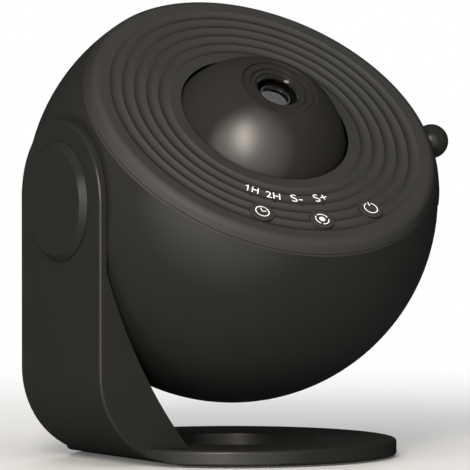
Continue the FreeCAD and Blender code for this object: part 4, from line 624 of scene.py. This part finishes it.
def screw_tree():
    """A screw on every point: pan head with a cross recess, crown at the point, threaded shank."""
    tree, given, calc = geometry_tree(
        "screws", ("Divisions Round", "Shank Divisions"),
        ("Head Radius", "Head Height", "Shank Radius", "Shank Length", "Thread Length", "Thread Pitch",
         "Tilt"))

    def shaped(mesh, scale_at, drop):
        """Cylinder whose radius is scaled by its height and turn, moved down by drop."""
        spot = place_of(tree)
        scale = scale_at(spot)
        return moved(tree, mesh, calc("MULTIPLY", spot["X"], scale), calc("MULTIPLY", spot["Y"], scale),
                     calc("SUBTRACT", spot["Z"], drop))

    def crown(spot):
        up = calc("ADD", ("DIVIDE", spot["Z"], given["Head Height"]), 0.5)
        return calc("SUBTRACT", 1.0, ("MULTIPLY", ("POWER", up, CROWN_POWER), CROWN_TAPER))

    def thread(spot):
        turn = calc("DIVIDE", ("ARCTAN2", spot["Y"], spot["X"]), 2 * math.pi)
        wave = calc("FRACT", ("ADD", ("DIVIDE", spot["Z"], given["Thread Pitch"]), turn))
        zigzag = calc("ABSOLUTE", ("SUBTRACT", ("MULTIPLY", wave, 2.0), 1.0))
        depth = calc("MULTIPLY", zigzag, THREAD_CUT)
        top = calc("SUBTRACT", given["Thread Length"], ("MULTIPLY", given["Shank Length"], 0.5))
        return calc("SUBTRACT", 1.0, ("MULTIPLY", depth, ("LESS_THAN", spot["Z"], top)))

    blank = add(tree, "GeometryNodeMeshCylinder", {
        "Vertices": given["Divisions Round"], "Side Segments": CROWN_STEPS,
        "Radius": given["Head Radius"], "Depth": given["Head Height"]})
    head = shaped(blank.outputs["Mesh"], crown, calc("MULTIPLY", given["Head Height"], 0.5))
    long_side, short_side = (
        calc("MULTIPLY", given["Head Radius"], share) for share in (RECESS_LONG, RECESS_WIDE))
    deep = calc("MULTIPLY", given["Head Height"], RECESS_DEEP)
    for x, y in ((long_side, short_side), (short_side, long_side)):
        size = add(tree, "ShaderNodeCombineXYZ", {"X": x, "Y": y, "Z": deep})
        box = add(tree, "GeometryNodeMeshCube", {"Size": size.outputs[0]})
        head = add(tree, "GeometryNodeMeshBoolean", {"Mesh 1": head, "Mesh 2": box.outputs["Mesh"]},
                   operation="DIFFERENCE", solver="EXACT").outputs["Mesh"]
    pin = add(tree, "GeometryNodeMeshCylinder", {
        "Vertices": given["Divisions Round"], "Side Segments": given["Shank Divisions"],
        "Radius": given["Shank Radius"], "Depth": given["Shank Length"]})
    middle = calc("ADD", given["Head Height"], ("MULTIPLY", given["Shank Length"], 0.5))
    shank = shaped(pin.outputs["Mesh"], thread, middle)
    screw = add(tree, "GeometryNodeJoinGeometry", {"Geometry": head})
    tree.links.new(shank, screw.inputs["Geometry"])
    spin = add(tree, "FunctionNodeRandomValue", {"Seed": SPIN_SEED}, data_type="FLOAT")
    turned = add(tree, "ShaderNodeCombineXYZ", {
        "X": given["Tilt"], "Z": calc("MULTIPLY", spin.outputs[1], math.pi)})
    driven = add(tree, "GeometryNodeInstanceOnPoints", {
        "Points": given["Geometry"], "Instance": screw.outputs[0], "Rotation": turned.outputs[0]})
    return ended(tree, driven.outputs[0], given["Material"])


def grown(tree, points=(), **inputs):
    """Plain mesh made by a Geometry Nodes tree, its inputs set by their socket identifiers."""
    start = bpy.data.meshes.new("grown")
    start.from_pydata(points, [], [])
    obj = linked("grown", start)
    modifier = obj.modifiers.new("nodes", "NODES")
    modifier.node_group = tree
    for socket in tree.interface.items_tree:
        key = socket.name.lower().replace(" ", "_")
        if socket.in_out == "INPUT" and key in inputs:
            modifier[socket.identifier] = inputs[key]
    mesh = plain(obj)
    obj.modifiers.remove(modifier)
    bpy.data.objects.remove(obj)
    return mesh


# ---- screws ------------------------------------------------------------------------------
def islands(node, matrix):
    """Corners of each separate solid of a node, in the frame that matrix takes to the row frame.

    The solids come in the order of their corners, so every run gives the same screws.
    """
    bm = bmesh.new()
    bm.from_mesh(NODES[node].data)
    bmesh.ops.remove_doubles(bm, verts=bm.verts, dist=NODE_WELD)
    back, met, groups = matrix.inverted(), set(), []
    for first in bm.verts:
        if first in met:
            continue
        met.add(first)
        group, edge = [], [first]
        while edge:
            vert = edge.pop()
            group.append(back @ vert.co)
            near = [e.other_vert(vert) for e in vert.link_edges]
            edge += [v for v in near if v not in met]
            met.update(near)
        groups.append(group)
    bm.free()
    return groups


def screws(node, body, tree, matrix=HEAD):
    """Draws the screws of a node in full, on the axes and between the ends of its solids."""
    crowns = []
    for points in islands(node, matrix):
        x, y = ((min(p[i] for p in points) + max(p[i] for p in points)) / 2 for i in (0, 1))
        low, high = min(p.z for p in points), max(p.z for p in points)
        away = [(math.hypot(p.x - x, p.y - y), p.z) for p in points]
        head_r = max(away)[0]
        rim = [z for r, z in away if r > RIM_SHARE * head_r]
        head_up = sum(rim) / len(rim) > (low + high) / 2
        thickness = (high - min(rim)) if head_up else (max(rim) - low)
        far_end = low if head_up else high
        shank_r = max(r for r, z in away if abs(z - far_end) < END_ZONE)
        crowns.append((x, y, high if head_up else low))
    length = high - low - thickness
    mesh = grown(
        tree, crowns, divisions_round=SCREW_STEPS,
        shank_divisions=int(length / THREAD_PITCH * THREAD_STEPS), head_radius=head_r,
        head_height=thickness, shank_radius=shank_r, shank_length=length,
        thread_length=min(length, THREAD_MAX), thread_pitch=THREAD_PITCH,
        tilt=0.0 if head_up else math.pi, material=ZINC_STEEL)
    return piece(node + "_in_full", smooth(placed(mesh, matrix)), body, ZINC_STEEL, node)


# ---- grooved cover -----------------------------------------------------------------------
def groove_depth(radius):
    """Depth of the grooved face at a distance from its axis, as the node tree makes it."""
    inwards = (GROOVE_OUT_R - radius) / GROOVE_PITCH
    if not 0 <= inwards <= GROOVE_COUNT:
        return 0.0
    half = (GROOVE_PITCH - RIDGE_FLAT) / 2
    bend = (half ** 2 + GROOVE_DEPTH ** 2) / (2 * GROOVE_DEPTH)
    from_middle = (inwards % 1 - 0.5) * GROOVE_PITCH
    return max(0.0, math.sqrt(bend ** 2 - from_middle ** 2) - bend + GROOVE_DEPTH)


def cover_body():
    """Rim, flat borders, dome opening, plate and lip: everything of the cover but the grooves."""
    lip_out = sphere_r(BALL_R, SEAM_Z) - LIP_IN
    # the rim's fillet touches the sphere from inside and the flat face from below
    fillet_z = FACE_Z - RIM_ROUND
    fillet_r = sphere_r(BALL_R - RIM_ROUND, fillet_z)
    lowest = math.degrees(math.atan2(fillet_z, fillet_r))
    fillet = []
    for i in range(RIM_STEPS + 1):
        x, z = polar(RIM_ROUND, lowest + (90 - lowest) * i / RIM_STEPS)
        fillet.append((fillet_r + x, fillet_z + z))
    side_top = BALL_R * math.sin(math.radians(lowest))
    line_low, line_top = (FACE_Z - LINE_DROP + side * LINE_W / 2 for side in (-1, 1))
    below = arc(BALL_R, 0, SEAM_Z - SHELL_GAP, line_low, EDGE_STEPS)
    above = arc(BALL_R, 0, line_top, side_top, SIDE_STEPS)
    outer = below + [(r - LINE_DEPTH, z) for r, z in (below[-1], above[0])]
    outer += above[:-1] + fillet + [(GROOVE_OUT_R, FACE_Z)]
    collar_in = sphere_r(DOME_R + DOME_GAP, COLLAR_Z, DOME_Z)
    inner = [(GROOVE_IN_R, FACE_Z)] + arc(DOME_R + DOME_GAP, DOME_Z, FACE_Z, COLLAR_Z, EDGE_STEPS)
    foot_z = SEAM_Z - SHELL_GAP
    inner += [(collar_in + COLLAR_T, COLLAR_Z), (collar_in + COLLAR_T, PLATE_Z),
              (lip_out - LIP_T, PLATE_Z), (lip_out - LIP_T, SEAM_Z - LIP_H),
              (lip_out, SEAM_Z - LIP_H), (lip_out, foot_z), (sphere_r(BALL_R, foot_z), foot_z)]
    return joined(lathe(outer, closed=False), lathe(inner, closed=False))


def front_cover():
    """Grooved face with its rim, button holes, indicator holes, posts and bosses."""
    grooves = grown(
        groove_tree(), count=GROOVE_COUNT, outer_radius=GROOVE_OUT_R, pitch=GROOVE_PITCH,
        depth=GROOVE_DEPTH, ridge=RIDGE_FLAT, ridge_round=RIDGE_ROUND, face_height=FACE_Z,
        groove_divisions=GROOVE_STEPS, divisions_round=ROUND_STEPS, material=COVER_ABS_PAINTED_LIGHT)
    bm = bmesh.new()
    bm.from_mesh(joined(grooves, cover_body()))
    bmesh.ops.remove_doubles(bm, verts=bm.verts, dist=RIM_WELD)
    bmesh.ops.recalc_face_normals(bm, faces=bm.faces)
    shell = written(bm, "cover")
    low, high = PLATE_Z - 1, FACE_Z + 1
    holes = [rod(BUTTON_HOLE_R, low, high, *polar(BUTTON_PCD_R, a)) for a in BUTTON_ANGLES.values()]
    holes += [rod(INDICATOR_HOLE_R, low, high, *polar(INDICATOR_PCD_R, a), steps=SMALL_STEPS)
              for a in INDICATOR_ANGLES]
    shell = cut(shell, joined(*holes))
    bed = PLATE_Z + BOSS_BED
    corners = [(x, y) for x in (-POST_XY, POST_XY) for y in (-POST_XY, POST_XY)]
    feet = [rod(POST_R, COVER_LOW.z, bed, x, y) for x, y in corners]
    feet += [rod(DECK_BOSS_R, DECK_TOP_Z, bed, *polar(DECK_BOSS_PCD_R, a)) for a in DECK_BOSS_ANGLES]
    feet += [rod(KEY_BOSS_R, KEY_BOARD_TOP_Z, bed, *polar(KEY_BOSS_PCD_R, a)) for a in KEY_BOSS_ANGLES]
    mesh = smooth(placed(joined(shell, *feet)), COVER_CREASE)
    return piece("grooved_face_cover", mesh, "head", COVER_ABS_PAINTED_LIGHT, "front_cover")


# ---- dome --------------------------------------------------------------------------------
def dome():
    """Dome with a flat top, steps down to the polished bore, and the sleeve inside."""
    under_z = DOME_HIGH.z - DOME_TOP_T
    shares = [FUNNEL_SHRINK ** i for i in range(FUNNEL_STEPS)]
    in_r = DOME_R - DOME_WALL
    sleeve_out = SLEEVE_IN_R + SLEEVE_T
    profile = arc(DOME_R, DOME_Z, DOME_LOW.z, DOME_HIGH.z, DOME_STEPS) + [(FUNNEL_R, DOME_HIGH.z)]
    radius = FUNNEL_R
    for i, share in enumerate(shares):
        z = DOME_HIGH.z - (i + 1) * FUNNEL_DEPTH / FUNNEL_STEPS
        profile += [(radius, z - RELIEF), (radius - RELIEF, z - RELIEF), (radius - RELIEF, z)]
        radius -= (FUNNEL_R - PUPIL_R) * share / sum(shares)
        profile.append((radius, z))
    profile[-1] = (PUPIL_R + MOUTH_CONE, z)
    profile.append((PUPIL_R, z - MOUTH_CONE))
    meet_z = DOME_Z + math.sqrt(in_r ** 2 - sleeve_out ** 2)
    profile += [(PUPIL_R, under_z), (SLEEVE_IN_R, under_z), (SLEEVE_IN_R, SLEEVE_LOW_Z),
                (sleeve_out, SLEEVE_LOW_Z)]
    profile += arc(in_r, DOME_Z, meet_z, DOME_LOW.z, INSIDE_STEPS)
    shell = solved(lathe(profile), ("BEVEL", {
        "width": STEP_ROUND, "segments": BEVEL_STEPS, "limit_method": "ANGLE",
        "angle_limit": math.radians(STEP_ANGLE), "use_clamp_overlap": True}))
    # Faces of the bore and its cone take the second finish: polish with painted shade.
    for face in shell.polygons:
        away = math.hypot(face.center.x, face.center.y)
        face.material_index = int(away < PUPIL_R + MOUTH_CONE + BORE_EDGE and face.center.z > under_z)
    return piece("focus_dome", smooth(placed(shell)), "dome", DOME_ABS, "lens_dome",
                 POLISHED_ABS_PAINTED_SHADE)


# ---- printed marks -----------------------------------------------------------------------
def ring_band(r_in, r_out, start, end, steps=BAND_STEPS):
    """Flat band of a ring between two angles, as a mesh in the XY plane."""
    bm = bmesh.new()
    rows = []
    for k in range(steps + 1):
        a = start + (end - start) * k / steps
        rows.append([bm.verts.new((*polar(r, a), 0)) for r in (r_in, r_out)])
    for (a, b), (c, d) in zip(rows, rows[1:]):
        bm.faces.new((a, b, d, c))
    return written(bm, "band")


def bar(x0, y0, x1, y1, width):
    """Flat bar between two points."""
    along = Vector((x1 - x0, y1 - y0, 0)).normalized() * width / 2
    side = Vector((-along.y, along.x, 0))
    start, end = Vector((x0, y0, 0)), Vector((x1, y1, 0))
    mesh = bpy.data.meshes.new("bar")
    mesh.from_pydata([start - side, end - side, end + side, start + side], [], [(0, 1, 2, 3)])
    return mesh


def dot(x, y, radius):
    mesh = ring_band(DOT_EYE_R, radius, 0, 360, steps=SMALL_STEPS)
    mesh.transform(Matrix.Translation((x, y, 0)))
    return mesh


def icon_meshes():
    """Clock, turning light and power marks, drawn with up along +Y."""
    inside = ICON_R - ICON_LINE
    clock = joined(ring_band(inside, ICON_R, 0, 360), bar(0, -HAND_TAIL, 0, MINUTE_HAND, ICON_LINE),
                   bar(0, 0, HOUR_HAND, 0, ICON_LINE))
    light = [dot(0, 0, LIGHT_R)]
    for start in BAND_STARTS:
        light += [ring_band(inside, ICON_R, start, start + BAND_SPAN),
                  dot(*polar(ICON_R - ICON_LINE / 2, start), BAND_DOT_R)]
    low, high = POWER_BAR
    power = joined(ring_band(inside, ICON_R, *POWER_SPAN), bar(0, low, 0, high, ICON_LINE))
    return {"timer_button": clock, "mode_button": joined(*light), "power_button": power}


def draped(mesh, x, y, turn, depth_at, slant=(0.0, 0.0)):
    """Moves a flat mark to a place on the face and lays it on the surface there.

    slant is how far the printing pad moves across the face for each millimetre that it sinks.
    """
    mesh.transform(Matrix.Translation((x, y, 0)) @ Matrix.Rotation(math.radians(turn), 4, "Z"))
    for v in mesh.vertices:
        depth = 0.0
        for _ in range(SETTLE_STEPS):
            there = (v.co.x + slant[0] * depth, v.co.y + slant[1] * depth)
            depth = (depth + depth_at(math.hypot(*there))) / 2
        v.co = (*there, FACE_Z - depth + INK_T)
    return mesh


def label_mesh(text, wide, high):
    """Text of the labels' height, centred, in cells small enough to follow the grooves.

    The built-in font's 1 is a bare stroke, so it gets a flag.
    """
    curve = bpy.data.curves.new(text, "FONT")
    curve.body = text
    curve.align_x = "CENTER"
    curve.align_y = "CENTER"
    curve.space_character = LETTER_SPACING
    obj = linked("text", curve)
    mesh = plain(obj)
    bpy.data.objects.remove(obj)
    height = max(v.co.y for v in mesh.vertices) - min(v.co.y for v in mesh.vertices)
    if text[0] == "1":
        left = min(v.co.x for v in mesh.vertices)
        tip_y, root_y = (height * share for share in FLAG_HEIGHTS)
        mesh = joined(mesh, bar(left - FLAG_OUT, tip_y, left + FLAG_IN, root_y, FLAG_LINE))
    bm = bmesh.new()
    bm.from_mesh(mesh)
    scale = LABEL_HEIGHT / height
    bmesh.ops.scale(bm, vec=(scale * wide, scale * high, 1), verts=bm.verts)
    bmesh.ops.remove_doubles(bm, verts=bm.verts, dist=FINE_WELD)
    for i in range(-DICE_COUNT, DICE_COUNT + 1):
        for normal, spacing in (((0, 1, 0), DICE_HIGH), ((1, 0, 0), DICE_WIDE)):
            parts = bm.verts[:] + bm.edges[:] + bm.faces[:]
            line = Vector(normal) * i * spacing
            bmesh.ops.bisect_plane(bm, geom=parts, plane_co=line, plane_no=normal)
    return written(bm, "label")


def labels():
    """The four printed words on the face."""
    marks = []
    for text, x, y, wide, high in LABELS:
        turn = math.degrees(math.atan2(y, x)) + 90
        marks.append(draped(label_mesh(text, wide, high), x, y, turn, groove_depth, pad_slant()))
    mesh = placed(joined(*marks))
    piece("face_marks", mesh, "head", WHITE_INK)


def buttons():
    """Button caps keep their nodes; each carries its printed mark."""
    for name, mark in icon_meshes().items():
        x, y = polar(BUTTON_PCD_R, BUTTON_ANGLES[name])
        sunk = FACE_Z - head_box(name)[1].z
        mesh = placed(draped(mark, x, y, 0, lambda r: sunk))
        piece(name + "_mark", mesh, name.split("_")[0], WHITE_INK)


# ---- studio ------------------------------------------------------------------------------
def camera():
    """Long lens, level with the object and a little above it."""
    back = towards_reader()
    right = Vector((0, 0, 1)).cross(back).normalized()
    up = back.cross(right)
    radius = BALL_R * MM
    data = bpy.data.cameras.new("camera")
    data.lens, data.sensor_width = LENS_MM, SENSOR_MM
    data.clip_start, data.clip_end = NEAREST, FURTHEST
    obj = linked("camera", data)
    turn = Matrix((right, up, back)).transposed().to_4x4()
    where = CENTRE + (back * VIEW_DISTANCE + right * VIEW_RIGHT + up * VIEW_UP) * radius
    obj.matrix_world = Matrix.Translation(where) @ turn
    bpy.context.scene.camera = obj


def lamp(name, towards, distance, width, height, watts, colour):
    """Oval soft box that looks at the ball's centre from a direction."""
    data = bpy.data.lights.new(name, "AREA")
    data.shape, data.size, data.size_y = "ELLIPSE", width, height
    data.energy, data.color = watts, linear(colour)[:3]
    obj = linked(name, data)
    direction = Vector(towards).normalized()
    obj.location = CENTRE + direction * distance
    obj.rotation_mode = "QUATERNION"
    obj.rotation_quaternion = direction.to_track_quat("Z", "Y")


def shown_white(tree):
    """1 for rays that see the surroundings: from the camera, from gloss and through glass."""
    rays = add(tree, "ShaderNodeLightPath").outputs
    seen = rays["Is Camera Ray"]
    for other in ("Is Glossy Ray", "Is Transmission Ray"):
        seen = add(tree, "ShaderNodeMath", {0: seen, 1: rays[other]}, operation="MAXIMUM").outputs[0]
    return seen


def paper():
    """White studio paper: it keeps a soft shadow near the object and is plain white further off."""
    material, tree, place = new_material("studio_paper")
    away = add(tree, "ShaderNodeVectorMath", {0: place}, operation="LENGTH").outputs["Value"]
    near, far = PAPER_FADE
    fade = add(tree, "ShaderNodeMapRange", {
        "Value": away, "From Min": near, "From Max": far, "To Min": PAPER_GLOW, "To Max": 1.0},
        interpolation_type="SMOOTHSTEP").outputs["Result"]
    share = add(tree, "ShaderNodeMath", {0: fade, 1: shown_white(tree)}, operation="MULTIPLY")
    matt = add(tree, "ShaderNodeBsdfDiffuse", {"Color": linear(PAPER_TONE)})
    white = add(tree, "ShaderNodeEmission", {"Strength": 1.0})
    both = add(tree, "ShaderNodeMixShader", {
        0: share.outputs[0], 1: matt.outputs[0], 2: white.outputs[0]})
    add(tree, "ShaderNodeOutputMaterial", {"Surface": both.outputs[0]})
    return material


def studio():
    """Floor, white surround and the lamps: the key light comes from the front left."""
    mesh = bpy.data.meshes.new("floor")
    mesh.from_pydata([(*polar(FLOOR_R, 90 * k + 45), FLOOR_Z) for k in range(4)], [], [(0, 1, 2, 3)])
    floor = linked("floor", mesh)
    mesh.materials.append(paper())
    world = bpy.data.worlds.new("studio")
    world.use_nodes = True
    bpy.context.scene.world = world
    tree = world.node_tree
    tree.nodes.clear()
    strength = add(tree, "ShaderNodeMapRange", {
        "Value": shown_white(tree), "To Min": WORLD_LIGHT, "To Max": 1.0})
    light = add(tree, "ShaderNodeBackground", {
        "Color": linear(WHITE), "Strength": strength.outputs["Result"]})
    add(tree, "ShaderNodeOutputWorld", {"Surface": light.outputs[0]})
    for settings in LAMPS:
        lamp(*settings)
    bpy.context.scene.view_settings.view_transform = "Standard"


# ---- the whole ---------------------------------------------------------------------------
finish_nodes()
front_cover()
dome()
labels()
buttons()
SCREWS = screw_tree()
for screw_node in ("shell_screws", "deck_screws", "board_screws", "key_board_screws"):
    screws(screw_node, "head", SCREWS)
screws("base_screws", "stand", SCREWS, Matrix.Scale(MM, 4))
studio()
camera()
